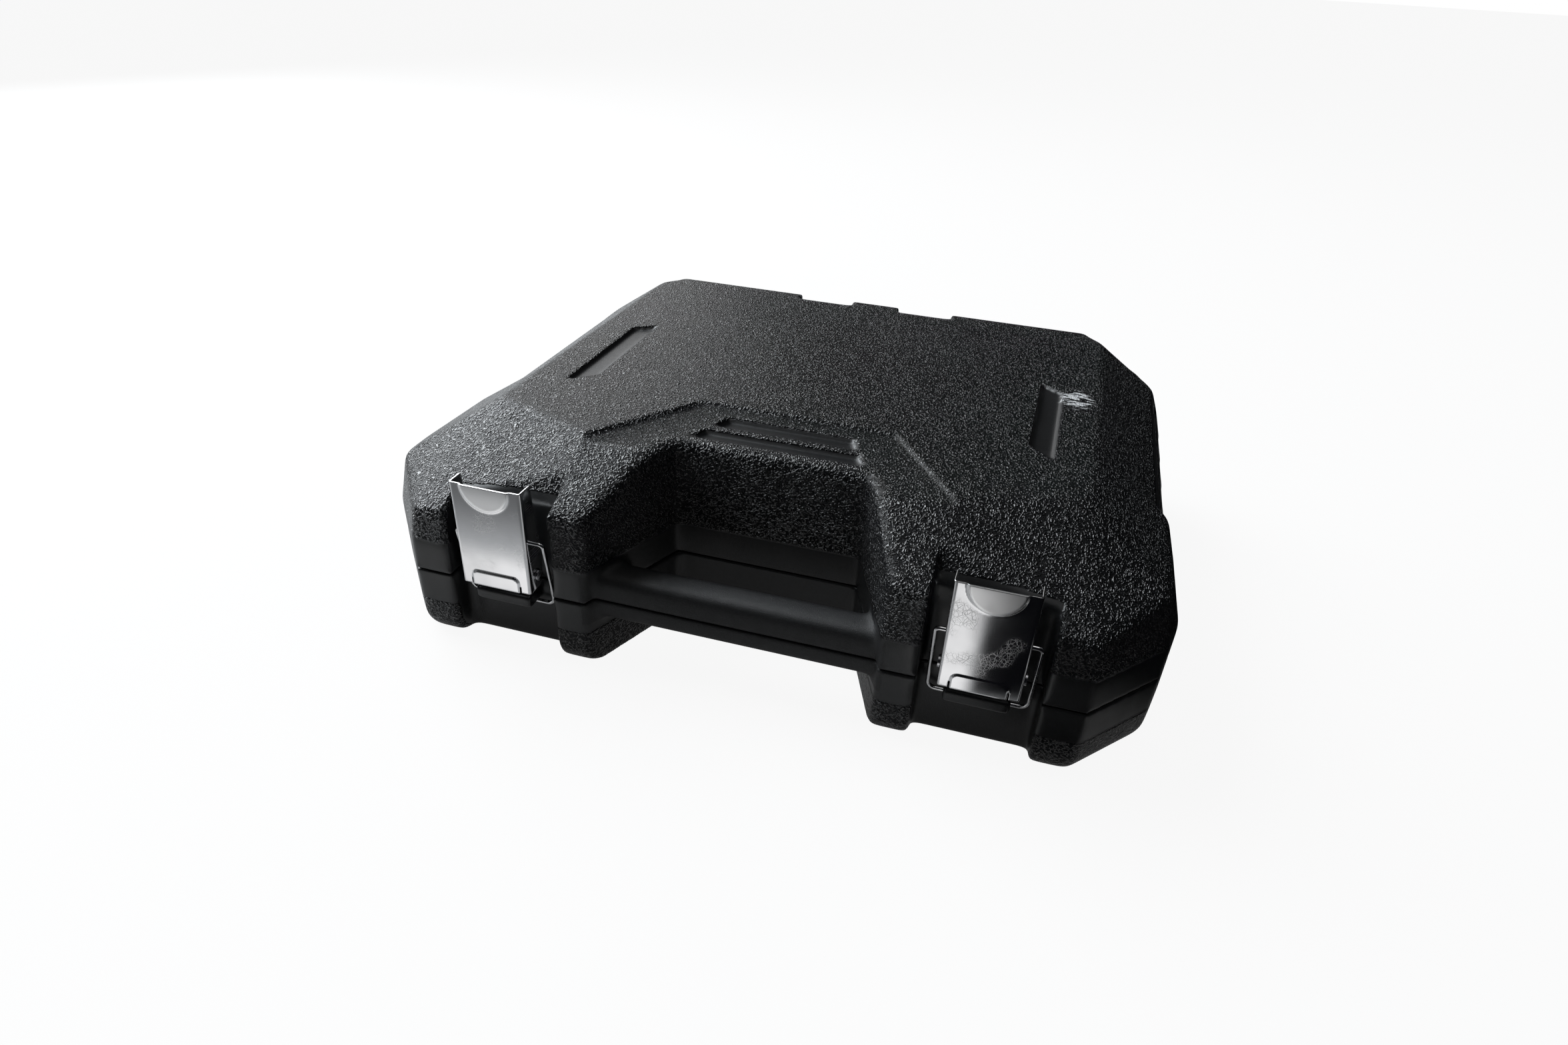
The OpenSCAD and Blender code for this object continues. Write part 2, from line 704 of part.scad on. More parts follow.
// Trough with a round floor along X, open upward
module trough_x(x, y, z, d, len) {
    rod_x(x, y, z, d, len);
    translate([x - len / 2, y - d / 2, z]) cube([len, d, big]);
}

// Trough with a round floor along Y from y0, open upward
module trough_y(x, y0, z, d, len) {
    rod_y(x, y0, z, d, len);
    translate([x - d / 2, y0, z]) cube([d, len, big]);
}

module ratchet_pocket() {
    c = pocket_gap;
    pocket_round(head_x, ratchet_y, ratchet_head_d + 2 * c, head_z0 - c);
    pocket_round(head_x, ratchet_y, 20, pocket_floor);
    trough_x((head_x + grip_x1 - grip_len) / 2, ratchet_y, ratchet_z, neck_d + 13,
             grip_x1 - grip_len - head_x);
    trough_x(grip_x1 - grip_len / 2, ratchet_y, ratchet_z, ratchet_grip_d + 2 * c, grip_len + 2 * c);
}

module small_ratchet_pocket() {
    c = pocket_gap;
    pocket_round(-side_tool_x, small_head_y, small_head_d + 2 * c, small_z - small_head_h / 2 - c);
    pocket_round(-side_tool_x, small_head_y, 13, small_z - small_head_h / 2 - small_square_len - 1);
    trough_y(-side_tool_x, small_head_y, small_z, small_neck_d + 9,
             small_ratchet_len - small_grip_len - small_head_d / 2);
    trough_y(-side_tool_x, side_tool_y + small_ratchet_len - small_grip_len - c, small_z,
             small_grip_d + 2 * c, small_grip_len + 2 * c);
}

module bar_pockets() {
    c = pocket_gap;
    // T bar: cradles at the ends, and between them a channel in which the head can slide
    trough_x(0, tbar_y, tbar_z, tbar_d + 2 * c, tbar_len + 2 * c);
    channel = 2 * (tbar_travel + tbar_head_d / 2 + 5);
    translate([-channel / 2, tbar_y - tbar_head_d / 2 - 1, tbar_z - tbar_head_h / 2 - 1])
        cube([channel, tbar_head_d + 2, big]);
    translate([-channel / 2, tbar_y - 11, pocket_floor]) cube([channel, 22, big]);
    // Long extension
    trough_x(0, ext_y, extension_z, extension_d + 4, long_ext_len - 20);
    trough_x(-(long_ext_len - extension_end_len - cone_len) / 2, ext_y, extension_z, extension_end_d + 2 * c,
             extension_end_len + cone_len + 2 * c);
    trough_x((long_ext_len - 36) / 2, ext_y, extension_z, 18.6, 36 + 2 * c);
    // Short extension
    trough_y(-inner_tool_x, short_ext_y - c, extension_z, extension_end_d + 2 * c,
             extension_end_len + cone_len + 2 * c);
    trough_y(-inner_tool_x, short_ext_y, extension_z, 18.6, short_ext_len + c);
    // Small extension
    trough_y(inner_tool_x, short_ext_y, extension_z, small_extension_end_d + 2 * c, small_extension_len + c);
    // Spinner
    trough_y(side_tool_x, side_tool_y - c, extension_z, spinner_grip_d + 2 * c, spinner_grip_len + 2 * c);
    trough_y(side_tool_x, side_tool_y + spinner_grip_len - 1, extension_z, spinner_shaft_d + 4,
             spinner_len - spinner_grip_len + 1 + c);
    // Hex keys
    translate([key_x0 - 2, key_y0 - 4, key_z - c]) cube([key_len + 3, 32, big]);
}

short_ext_y = -84;

// ---- large ratchet ----
gear_d = 23;
shaft_d = 18;
cover_d = 33;
cover_h = 2;
button_d = 7;
switch_x = head_x + 14.4;
screw_r = 13.9;

module at_ratchet_head() {
    translate([head_x, ratchet_y, 0]) children();
}

module ratchet_body() color("#c4c6c9") {
    difference() {
        union() {
            at_ratchet_head() translate([0, 0, head_z0]) cylinder(d = ratchet_head_d, h = head_h, $fn = 64);
            translate([head_x, ratchet_y, ratchet_z - 7]) linear_extrude(14)
                polygon([[0, -15], [24, -8.4], [40, -neck_d / 2 + 0.6],
                         [40, neck_d / 2 - 0.6], [24, 8.4], [0, 15]]);
            rod_x((head_x + 36 + grip_x1 - 12) / 2, ratchet_y, ratchet_z, neck_d, grip_x1 - 12 - head_x - 36);
        }
        at_ratchet_head() {
            translate([0, 0, head_z0 - 1]) cylinder(d = shaft_d + 2 * pin_fit, h = head_h, $fn = 64);
            translate([0, 0, head_z0 + 3]) cylinder(d = gear_d + 1, h = head_h, $fn = 64);
            translate([0, 0, head_z1 - cover_h - 0.1]) cylinder(d = cover_d + 0.2, h = head_h, $fn = 64);
        }
        translate([switch_x, ratchet_y, head_z0 + 8]) cylinder(d = 6, h = head_h, $fn = 32);
        ratchet_screw_places() translate([0, 0, head_z1 - 9]) cylinder(d = 2.4, h = 9, $fn = 24);
    }
}

module ratchet_screw_places() {
    for (a = [120, 240]) at_ratchet_head() rotate([0, 0, a]) translate([screw_r, 0, 0]) children();
}

// Grip revolved from a profile that swells towards its end and is waisted behind the collar
function grip_r(t, r) = r * (0.86 + 0.14 * cos(360 * (t - 0.72)) - 0.10 * exp(-60 * t * t));
module grip_solid(len, d, bore_d, bore_len) {
    n = 22;
    difference() {
        rotate_extrude($fn = 64) polygon(concat(
            [[0, 0]],
            [for (i = [0 : n]) let (t = i / n) [grip_r(t, d / 2) * (t > 0.97 ? 0.88 : 1), len * t]],
            [[0, len]]));
        translate([0, 0, -1]) cylinder(d = bore_d, h = bore_len + 1, $fn = round_fn);
    }
}

module ratchet_grip() color("#2a2b2d") {
    translate([grip_x1 - grip_len, ratchet_y, ratchet_z]) rotate([0, 90, 0])
        grip_solid(grip_len, ratchet_grip_d, neck_d + 0.1, grip_len - 12 + 0.1);
}

module drive_teeth(d, h, n) {
    cylinder(d = d - 1.4, h = h, $fn = 64);
    for (i = [0 : n - 1]) rotate([0, 0, 360 * i / n]) linear_extrude(h)
        polygon([[d / 2 - 1, -0.7], [d / 2, 0], [d / 2 - 1, 0.7]]);
}

module ratchet_drive() color("#d0d2d5") {
    difference() {
        at_ratchet_head() {
            translate([0, 0, head_z0 + 3.1]) drive_teeth(gear_d, head_h - 3 - cover_h - 0.5, 36);
            translate([0, 0, head_z0 - 0.5]) cylinder(d = shaft_d, h = 4, $fn = 64);
            translate([-drive_large / 2, -drive_large / 2, head_z0 - square_len])
                cube([drive_large, drive_large, square_len]);
        }
        at_ratchet_head() translate([0, 0, head_z0 - 4])
            cylinder(d = button_d + 0.2, h = head_h + 5, $fn = round_fn);
    }
}

module ratchet_cover() color("#c4c6c9") {
    difference() {
        at_ratchet_head() translate([0, 0, head_z1 - cover_h]) cylinder(d = cover_d, h = cover_h, $fn = 64);
        at_ratchet_head() translate([0, 0, head_z1 - 5]) cylinder(d = button_d + 1, h = 9, $fn = round_fn);
        translate([switch_x, ratchet_y, head_z1 - 5]) cylinder(d = 5.2, h = 9, $fn = 32);
        ratchet_screw_places() {
            translate([0, 0, head_z1 - 5]) cylinder(d = 2.6, h = 9, $fn = 24);
            translate([0, 0, head_z1 - 1.1]) cylinder(d = 4.3, h = 9, $fn = 24);
        }
    }
}

module ratchet_cover_screws() color("#8d8f92") {
    ratchet_screw_places() difference() {
        union() {
            translate([0, 0, head_z1 - 8.5]) cylinder(d = 2.3, h = 8, $fn = 24);
            translate([0, 0, head_z1 - 1.05]) cylinder(d = 4.2, h = 1.05, $fn = 24);
        }
        translate([0, 0, head_z1 - 0.8]) cylinder(d = 2, h = 2, $fn = 6);
    }
}

module ratchet_switch() color("#c4c6c9") {
    translate([switch_x, ratchet_y, 0]) {
        translate([0, 0, head_z1 - 6]) cylinder(d = 5, h = 7, $fn = 32);
        translate([0, 0, head_z1 + 0.2]) cylinder(d = 9, h = 3, $fn = 32);
        translate([0, 0, head_z1 + 0.2]) linear_extrude(3)
            polygon(concat([[-1, -4.3], [-1, 4.3]], arc([13, 0], 2.4, 90, -90, 8)));
    }
}

module ratchet_button() color("#8d8f92") {
    at_ratchet_head() translate([0, 0, head_z0 + 4]) cylinder(d = button_d, h = head_h + 0.5, $fn = round_fn);
}

// ---- small ratchet ----
small_z0 = small_z - small_head_h / 2;
small_z1 = small_z + small_head_h / 2;

module at_small_head() {
    translate([-side_tool_x, small_head_y, 0]) children();
}

module small_ratchet_body() color("#c4c6c9") {
    difference() {
        union() {
            at_small_head() {
                translate([0, 0, small_z0]) cylinder(d = small_head_d, h = small_head_h, $fn = 64);
                translate([0, 0, small_z - 4.5]) linear_extrude(9)
                    polygon([[-9.6, 0], [-5, 16], [-small_neck_d / 2 + 0.5, 26],
                             [small_neck_d / 2 - 0.5, 26], [5, 16], [9.6, 0]]);
            }
            rod_y(-side_tool_x, small_head_y + 23, small_z, small_neck_d,
                  side_tool_y + small_ratchet_len - 10 - small_head_y - 23);
        }
        at_small_head() {
            translate([0, 0, small_z0 - 1]) cylinder(d = 12 + 2 * pin_fit, h = small_head_h, $fn = 64);
            translate([0, 0, small_z0 + 2.5]) cylinder(d = 16, h = small_head_h - 4.5, $fn = 64);
            translate([0, 0, small_z0 + 5]) cylinder(d = 6 + 2 * pin_fit, h = small_head_h, $fn = 32);
        }
    }
}

module small_ratchet_grip() color("#2a2b2d") {
    translate([-side_tool_x, side_tool_y + small_ratchet_len - small_grip_len, small_z]) rotate([-90, 0, 0])
        grip_solid(small_grip_len, small_grip_d, small_neck_d + 0.1, small_grip_len - 10 + 0.1);
}

module small_ratchet_drive() color("#d0d2d5") {
    at_small_head() {
        translate([0, 0, small_z0 + 2.6]) drive_teeth(15, small_head_h - 5, 30);
        translate([0, 0, small_z0 - 0.4]) cylinder(d = 12, h = 3.4, $fn = 64);
        translate([-drive_small / 2, -drive_small / 2, small_z0 - small_square_len])
            cube([drive_small, drive_small, small_square_len]);
    }
}

module small_ratchet_switch() color("#c4c6c9") {
    at_small_head() {
        translate([0, 0, small_z1 - 1.6]) cylinder(d = 6, h = 2, $fn = 32);
        translate([0, 0, small_z1 + 0.2]) cylinder(d = 15, h = 1.4, $fn = 48);
        translate([0, 0, small_z1 + 0.2]) linear_extrude(2.6)
            polygon(concat([[-3, 0], [3, 0]], arc([0, 11], 2, 0, 180, 8)));
    }
}

// ---- sliding T bar ----
module tbar_rod() color("#cfd1d4") {
    rod_x(0, tbar_y, tbar_z, tbar_d, tbar_len);
}

module tbar_head() color("#c4c6c9") {
    difference() {
        translate([0, tbar_y, 0]) {
            translate([0, 0, tbar_z - tbar_head_h / 2]) cylinder(d = tbar_head_d, h = tbar_head_h, $fn = 64);
            translate([-drive_large / 2, -drive_large / 2, tbar_z - tbar_head_h / 2 - square_len])
                cube([drive_large, drive_large, square_len + 1]);
        }
        rod_x(0, tbar_y, tbar_z, tbar_d + 2 * pin_fit, 3 * tbar_head_d);
    }
}

// ---- bars with a square socket at one end and a square drive at the other, from the origin along +Z ----
module extension_bar(len, d, end_d, end_len, square) {
    collar = square * 1.42;
    difference() {
        union() {
            cylinder(d = end_d, h = end_len, $fn = 64);
            translate([0, 0, end_len]) cylinder(d1 = end_d, d2 = d, h = cone_len, $fn = 64);
            cylinder(d = d, h = len - square * 1.3, $fn = 64);
            translate([0, 0, len - square * 1.3 - 9]) cylinder(d = collar, h = 9, $fn = 64);
            translate([-square / 2, -square / 2, len - square * 1.3 - 1])
                cube([square, square, square * 1.3 + 1]);
        }
        translate([-square / 2 - 0.15, -square / 2 - 0.15, -1])
            cube([square + 0.3, square + 0.3, square * 1.25 + 1]);
    }
}

module long_extension() color("#cfd1d4") {
    translate([-long_ext_len / 2, ext_y, extension_z]) rotate([0, 90, 0])
        extension_bar(long_ext_len, extension_d, extension_end_d, extension_end_len, drive_large);
}

module short_extension() color("#cfd1d4") {
    translate([-inner_tool_x, short_ext_y, extension_z]) rotate([-90, 0, 0])
        extension_bar(short_ext_len, extension_d, extension_end_d, extension_end_len, drive_large);
}

module small_extension() color("#cfd1d4") {
    translate([inner_tool_x, short_ext_y, extension_z]) rotate([-90, 0, 0])
        extension_bar(small_extension_len, small_extension_d, small_extension_end_d, 16, drive_small);
}

// ---- universal joint, standing in its pocket ----
universal_d = 21;
universal_z = 40;
ear_t = 5;
ear_gap = 10.8;
ear_w = 8.6;
swing_room = 0.6;
swing_depth = 5;
cross_pin_d = 5;
adapter_d = 20;
adapter_z = pocket_floor + 0.3;

module at_universal() {
    translate([universal_x, universal_y, universal_z]) children();
}

// Two ears across X, reaching down from the pivot
module yoke_ears() {
    intersection() {
        for (s = [-1, 1]) difference() {
            union() {
                translate([s * (ear_gap / 2 + ear_t / 2) - ear_t / 2, 0, 0]) rotate([0, 90, 0])
                    cylinder(d = ear_w, h = ear_t, $fn = round_fn);
                translate([s * (ear_gap / 2 + ear_t / 2) - ear_t / 2, -ear_w / 2, -14]) cube([ear_t, ear_w, 14]);
            }
            translate([-20, 0, 0]) rotate([0, 90, 0])
                cylinder(d = cross_pin_d + 2 * pin_fit, h = 40, $fn = round_fn);
        }
        cylinder(d = universal_d, h = 60, center = true, $fn = 64);
    }
}

module universal_lower_yoke() color("#cfd1d4") {
    at_universal() {
        yoke_ears();
        difference() {
            translate([0, 0, -universal_z + socket_z])
                cylinder(d = universal_d, h = universal_z - socket_z - 12.5, $fn = 64);
            translate([-drive_large / 2 - 0.15, -drive_large / 2 - 0.15, -universal_z])
                cube([drive_large + 0.3, drive_large + 0.3, 21]);
        }
    }
}

module universal_cross() color("#9b9da0") {
    at_universal() {
        cube([ear_gap - 0.4, ear_gap - 0.4, 7], center = true);
        rotate([0, 90, 0]) cylinder(d = cross_pin_d, h = universal_d - 1.6, center = true, $fn = round_fn);
        rotate([90, 0, 0]) cylinder(d = cross_pin_d, h = universal_d - 1.6, center = true, $fn = round_fn);
    }
}

module universal_upper_yoke() color("#cfd1d4") {
    at_universal() {
        rotate([180, 0, 90]) yoke_ears();
        translate([0, 0, 12.5]) cylinder(d = universal_d, h = 5, $fn = 64);
        translate([-drive_large / 2, -drive_large / 2, 17]) cube([drive_large, drive_large, square_len]);
    }
}

module drive_adapter() color("#cfd1d4") {
    translate([adapter_x, adapter_y, adapter_z]) difference() {
        union() {
            translate([-drive_large / 2, -drive_large / 2, 0])
                cube([drive_large, drive_large, square_len + 1]);
            translate([0, 0, square_len]) cylinder(d = adapter_d, h = 20, $fn = 64);
        }
        translate([-4.9, -4.9, square_len + 8]) cube([9.8, 9.8, 20]);
    }
}

// ---- spinner handle ----
module spinner_shaft() color("#cfd1d4") {
    translate([side_tool_x, side_tool_y + 20, extension_z]) rotate([-90, 0, 0]) {
        cylinder(d = spinner_shaft_d, h = spinner_len - 20 - 9, $fn = round_fn);
        translate([0, 0, spinner_len - 20 - 17]) cylinder(d = 9, h = 8.5, $fn = round_fn);
        translate([-drive_small / 2, -drive_small / 2, spinner_len - 20 - 9.5])
            cube([drive_small, drive_small, 9.5]);
    }
}

module spinner_grip() color("#2a2b2d") {
    translate([side_tool_x, side_tool_y + spinner_grip_len, extension_z]) rotate([90, 0, 0])
        grip_solid(spinner_grip_len, spinner_grip_d, spinner_shaft_d + 0.1, spinner_grip_len - 20 + 0.1);
}

// ---- hex keys, lying side by side ----
key_len = 80;
key_x0 = side_x - 118;
key_y0 = -116;
key_z = 27;
KEYS = [4, 5, 6];

module hex_keys() color("#3a3b3d") {
    for (i = [0 : len(KEYS) - 1]) {
        s = KEYS[i];
        long = key_len - 12 * i;
        translate([key_x0 + 9 * i, key_y0 + 9 * i - 2, key_z]) {
            translate([s / 2, s / 2, s * 0.58]) rotate([0, 90, 0])
                cylinder(d = s * 1.155, h = long - 4, $fn = 6);
            translate([s / 2, 0, s * 0.58]) rotate([-90, 0, 0])
                cylinder(d = s * 1.155, h = 8, $fn = 6);
        }
    }
}

// ---- sockets, standing with the hex end up ----
module socket_solid(s, od, length, square) {
    drive_d = square * 1.73;
    neck_h = length * 0.42;
    difference() {
        union() {
            cylinder(d = min(od, drive_d), h = length, $fn = 64);
            translate([0, 0, neck_h]) cylinder(d = od, h = length - neck_h - 0.6, $fn = 64);
            if (od > drive_d)
                translate([0, 0, neck_h - (od - drive_d) / 2])
                    cylinder(d1 = drive_d, d2 = od, h = (od - drive_d) / 2 + eps, $fn = 64);
            translate([0, 0, length - 0.6 - eps]) cylinder(d1 = od, d2 = od - 1.2, h = 0.6 + eps, $fn = 64);
        }
        translate([0, 0, length - length * 0.46]) cylinder(d = (s + 0.2) * 1.1547, h = length, $fn = 6);
        translate([0, 0, length - 0.8]) cylinder(d1 = s + 0.4, d2 = s * 1.1547 + 1, h = 0.9, $fn = 64);
        translate([-square / 2 - 0.1, -square / 2 - 0.1, -1])
            cube([square + 0.2, square + 0.2, square * 1.1 + 1]);
        cylinder(d = min(square * 0.8, s * 0.8), h = length, $fn = 32);
    }
}

module large_socket(i) color("#d2d4d7") {
    translate([large_x(i), large_row_y, socket_z])
        socket_solid(LARGE[i], large_ods[i], socket_len + (LARGE[i] > 24 ? 6 : 0), drive_large);
}

module medium_socket(i) color("#d2d4d7") {
    translate([medium_x(i), medium_row_y, socket_z])
        socket_solid(MEDIUM[i], medium_ods[i], socket_len, drive_large);
}

module small_socket(i) color("#d2d4d7") {
    translate([small_x(i), small_row_y, small_socket_z])
        socket_solid(SMALL[i], small_ods[i], small_socket_len, drive_small);
}

module plug_socket(i) color("#d2d4d7") {
    translate([plug_x(i), large_row_y, socket_z]) difference() {
        socket_solid(PLUG[i], plug_ods[i], plug_socket_len, drive_large);
        translate([0, 0, 18]) cylinder(d = PLUG[i] + 0.2, h = plug_socket_len, $fn = 64);
    }
}

// Rubber sleeve that grips the spark plug
module plug_insert(i) color("#1a1a1a") {
    translate([plug_x(i), large_row_y, socket_z + 20]) difference() {
        cylinder(d = PLUG[i], h = 16, $fn = 64);
        translate([0, 0, -1]) cylinder(d = PLUG[i] - 6, h = 20, $fn = 64);
    }
}

case_base();
case_lid();
hinge_pin();
tray_rear();
tray_middle();
tray_front();
latch_lever_left();
latch_lever_right();
latch_bail_left();
latch_bail_right();
latch_pin_left();
latch_pin_right();
ratchet_body();
ratchet_grip();
ratchet_drive();
ratchet_cover();
ratchet_cover_screws();
ratchet_switch();
ratchet_button();
small_ratchet_body();
small_ratchet_grip();
small_ratchet_drive();
small_ratchet_switch();
tbar_rod();
tbar_head();
long_extension();
short_extension();
small_extension();
universal_lower_yoke();
universal_cross();
universal_upper_yoke();
spinner_shaft();
spinner_grip();
drive_adapter();
hex_keys();
for (i = [0 : len(LARGE) - 1]) large_socket(i);
for (i = [0 : len(MEDIUM) - 1]) medium_socket(i);
for (i = [0 : len(SMALL) - 1]) small_socket(i);
for (i = [0 : len(PLUG) - 1]) plug_socket(i);
for (i = [0 : len(PLUG) - 1]) plug_insert(i);
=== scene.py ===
"""Socket wrench set in a moulded case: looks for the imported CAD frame.

Every CAD node gets its material. The two halves of the case get a finer skin with rounded edges, and the
latch levers get bent sheets. Lengths of skins and levers are in millimetres. Those of voxels, camera, lights,
cards and materials are in metres.
"""
import json
import math

import bmesh
import bpy
import numpy as np
from mathutils import Matrix, Vector


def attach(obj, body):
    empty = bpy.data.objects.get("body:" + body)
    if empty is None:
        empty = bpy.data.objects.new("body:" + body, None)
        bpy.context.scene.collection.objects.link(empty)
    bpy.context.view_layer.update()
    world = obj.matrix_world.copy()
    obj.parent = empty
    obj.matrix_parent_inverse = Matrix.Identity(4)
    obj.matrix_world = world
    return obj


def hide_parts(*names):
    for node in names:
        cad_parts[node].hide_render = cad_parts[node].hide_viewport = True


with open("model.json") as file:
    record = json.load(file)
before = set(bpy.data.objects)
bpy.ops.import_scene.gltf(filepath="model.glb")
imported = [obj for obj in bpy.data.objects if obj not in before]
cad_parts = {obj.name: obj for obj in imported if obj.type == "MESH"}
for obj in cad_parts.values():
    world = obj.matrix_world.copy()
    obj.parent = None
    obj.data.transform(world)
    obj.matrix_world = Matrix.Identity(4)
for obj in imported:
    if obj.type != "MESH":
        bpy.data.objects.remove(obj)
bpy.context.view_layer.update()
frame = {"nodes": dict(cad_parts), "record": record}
nodes = frame["nodes"]
scene = bpy.context.scene
scene.view_settings.view_transform = "Standard"
MM = 0.001
PER_M = 1000


def box(node):
    """Lower and upper corner of a CAD node, in millimetres."""
    axes = [[round(v * PER_M, 2) for v in axis] for axis in zip(*nodes[node].bound_box)]
    return [min(axis) for axis in axes], [max(axis) for axis in axes]


# ---- places taken from the frame ----
lever_low, lever_high = box("latch_lever_right")
hinge_low, hinge_high = box("hinge_pin")
PAD_STANDS = 1.0
LATCH_X = (lever_low[0] + lever_high[0]) / 2
LEVER_Y = lever_low[1] + PAD_STANDS
LEVER_Z0 = lever_low[2]
LEVER_W = lever_high[0] - lever_low[0]
LEVER_H = lever_high[2] - lever_low[2]
PART_Z = (hinge_low[2] + hinge_high[2]) / 2
BAND_H = 17.0
BAND_TOP, BAND_LOW = PART_Z + BAND_H, PART_Z - BAND_H

# ---- outlines seen from above, anticlockwise, as the solids have them ----
HAND = [(-69.2, -148), (69.2, -148), (46, -89.2), (-46, -89.2)]
FIELD = [(-87.3, -155), (87.3, -155), (87.3, -100.7), (49.8, -44), (-49.8, -44), (-87.3, -100.7)]
SLOTS = [[(-35.4, -65.7), (35.4, -65.7), (31.4, -55.3), (-31.4, -55.3)],
         [(-41.5, -80.6), (41.5, -80.6), (37.7, -71.8), (-37.7, -71.8)]]
PANEL = [(113, -32.1), (124.8, -44.9), (124.9, 41.2), (113.5, 49.2)]
CAVITY = [(-159, -126), (159, -126), (179.5, -104), (179.5, 126.5), (171.5, 133), (-171.5, 133),
          (-179.5, 126.5), (-179.5, -104)]

# ---- zones of the case's skin: hinge, latch recesses, lugs and keepers, handle, walls around the tools,
# upper face and its top, places where the grain ends, dull floors of the slots, and the scuff ----
HINGE_Y = 143
LATCH_HALF = 26.6
LATCH_LID_Y, LATCH_BASE_Y = -131, -133
LUGS = {"half": 15, "y": -134, "top": 55}
KEEPER = {"half": 17, "y": -136, "low": 24}
HANDLE = {"side": -2, "y": -122, "top": 52, "low": 25}
LID_CAVITY = {"side": -0.7, "hand": -7.6, "ceiling": 75.6}
BASE_CAVITY = {"side": -1.5, "hand": -7.0, "floor": 4}
FACE_LOW, TOP_LOW = 72, 90
BAND_FADE, SINK_FADE = 0.4, (-1.0, 0.0)
SLOT_FADE = (0.2, 1.2)
SCUFF = {"place": (133, 34), "spread": (8, 12), "low": 95}

# ---- rounding of the skin: size of its voxels, passes for voxels of VOXEL_PASSES, the share of the rounding
# that crisp places get, and the distances over which it grows from there ----
VOXEL_FULL, VOXEL_QUICK, VOXEL_PASSES = 0.0010, 0.0017, 0.0011
WELD = 2e-6
EDGE_PASSES, RIM_PASSES = 22, 40
RELAX = 0.5
SEAM_SOFT, ORNAMENT_SOFT, LID_CAVITY_SOFT, LUGS_SOFT = 0.1, 0.12, 0.25, 0.15
BASE_CAVITY_SOFT, HINGE_SOFT, KEEPER_SOFT = 0.2, 0.25, 0.3
SEAM_NEAR, SEAM_FAR = 1.0, 4.5
ORNAMENT_NEAR, ORNAMENT_FAR = 1.5, 5
RIM_FAR, RIM_NEAR, RIM_LOW, RIM_HIGH = 16, 9, 58, 64

# ---- latch lever: bend, sheet, rounded edge, flanges, pad, tab and its slits, and the steps of its mesh ----
BEND, SHEET = 1.3, 0.9
LEVER_EDGE, EDGE_ANGLE = 0.16, 50
FLANGE_HEIGHTS = [0, 1.2, 2.5, 8, LEVER_H * 0.45, LEVER_H]
FLANGE_DEPTHS = [8.6, 10.4, 11.4, 13.2, 12.2, 9.0]
PAD = {"outer": 12.6, "inner": 11.2, "squash": 0.98, "rise": 16, "low": 0.3, "high": 0.98, "depth": 0.5}
TAB = {"half": 12.0, "top": 7.5, "corner": 3, "high": 0.55, "edge": 0.35}
SLIT = {"u": 12.6, "half": 0.36, "top": 3.4, "depth": 1}
FLANGE_STEPS, BEND_STEPS, FACE_STEPS, ROWS = 8, 5, 56, 80

# ---- leather grain: cells per metre and bend of the noise whose middle the ridges follow, half width of a
# ridge, cells and limits of the noise that breaks the ridges up, height in metres, roughness and gloss ----
GRAIN = {"scale": 720, "bend": 0.5, "half": 0.19, "gap_scale": 792, "gaps": (0.32, 0.42), "high": 0.0009,
         "rough": (0.16, 0.24), "rough_smooth": (0.28, 0.38), "shine": (-0.36, 0.66)}
PLASTIC_DARK, PLASTIC_PALE = (0.0065, 0.0068, 0.0075), (0.0105, 0.011, 0.012)
DUST_COLOR, SCUFF_COLOR = (0.16, 0.16, 0.16), (0.80, 0.81, 0.82)
# The second colour is a painted highlight for the latch levers' thumb pads. The first is the colour of real
# scratches.
MARK_COLOR, PAD_HIGHLIGHT_COLOR = (0.9, 0.9, 0.9), (0.96, 0.96, 0.96)

# ---- camera, solved from the straight edges of the case ----
PICTURE_W, PICTURE_H = 2352, 1568
FOCAL_PX = 1450.22
CENTRE_PX = (1169.96, 881.75)
SENSOR_MM = 36
CAMERA_PLACE = (0.10965, -0.47553, 0.29794)
CAMERA_FORWARD = (-0.21105, 0.80119, -0.55995)
CAMERA_RIGHT = (0.95734, 0.28509, 0.04709)

# ---- light: the room's level, then azimuth, height, outer and inner half angle and strength of its bright
# parts, the window, and the floor as it is seen and mirrored ----
ROOM = 0.015
ROOM_LIGHTS = [(142, 14, 36, 29, 1.15), (104, 18, 16, 6, 0.15), (0, 90, 38, 22, 0.20), (0, 88, 13, 9, 1.3)]
WINDOW = {"place": (-1.31, 0.48, 1.02), "aim": (0, 0, 0.05), "size": (1.6, 1.9), "power": 52,
          "color": (0.90, 0.955, 1.0)}
FLOOR = {"half": 12, "color": (0.9, 0.9, 0.9), "rough": 0.9, "shown": 0.92, "mirrored": 0.60, "glow": 0.28}

# ---- cards that only reflections see, black ones for painted shade and glowing ones for painted light: ----
# heights, edges that they share, colour, and where their opacity changes ----
CARD_Z, GLOW_CARD_Z = 0.001, 0.002
CARD_LEFT, CARD_NEAR, CARD_BACK, CARD_FAR = -1.2, -0.75, -0.19, 8
CASE_SIDE = 0.196
# Base colour of all cards: black, which is painted shade wherever a card doesn't glow.
CARD_COLOR = (0.004, 0.004, 0.005)
# Opacity of the floor card's painted shade: dim in front, and black at the right latch and beside the case.
DIM, DIM_Y = 0.72, (-0.29, -0.215)
LATCH_SHADE_X, LATCH_SHADE_Y = (0.106, 0.112), (-0.205, -0.190)
SIDE_SHADE_X = (0.19, 0.23)
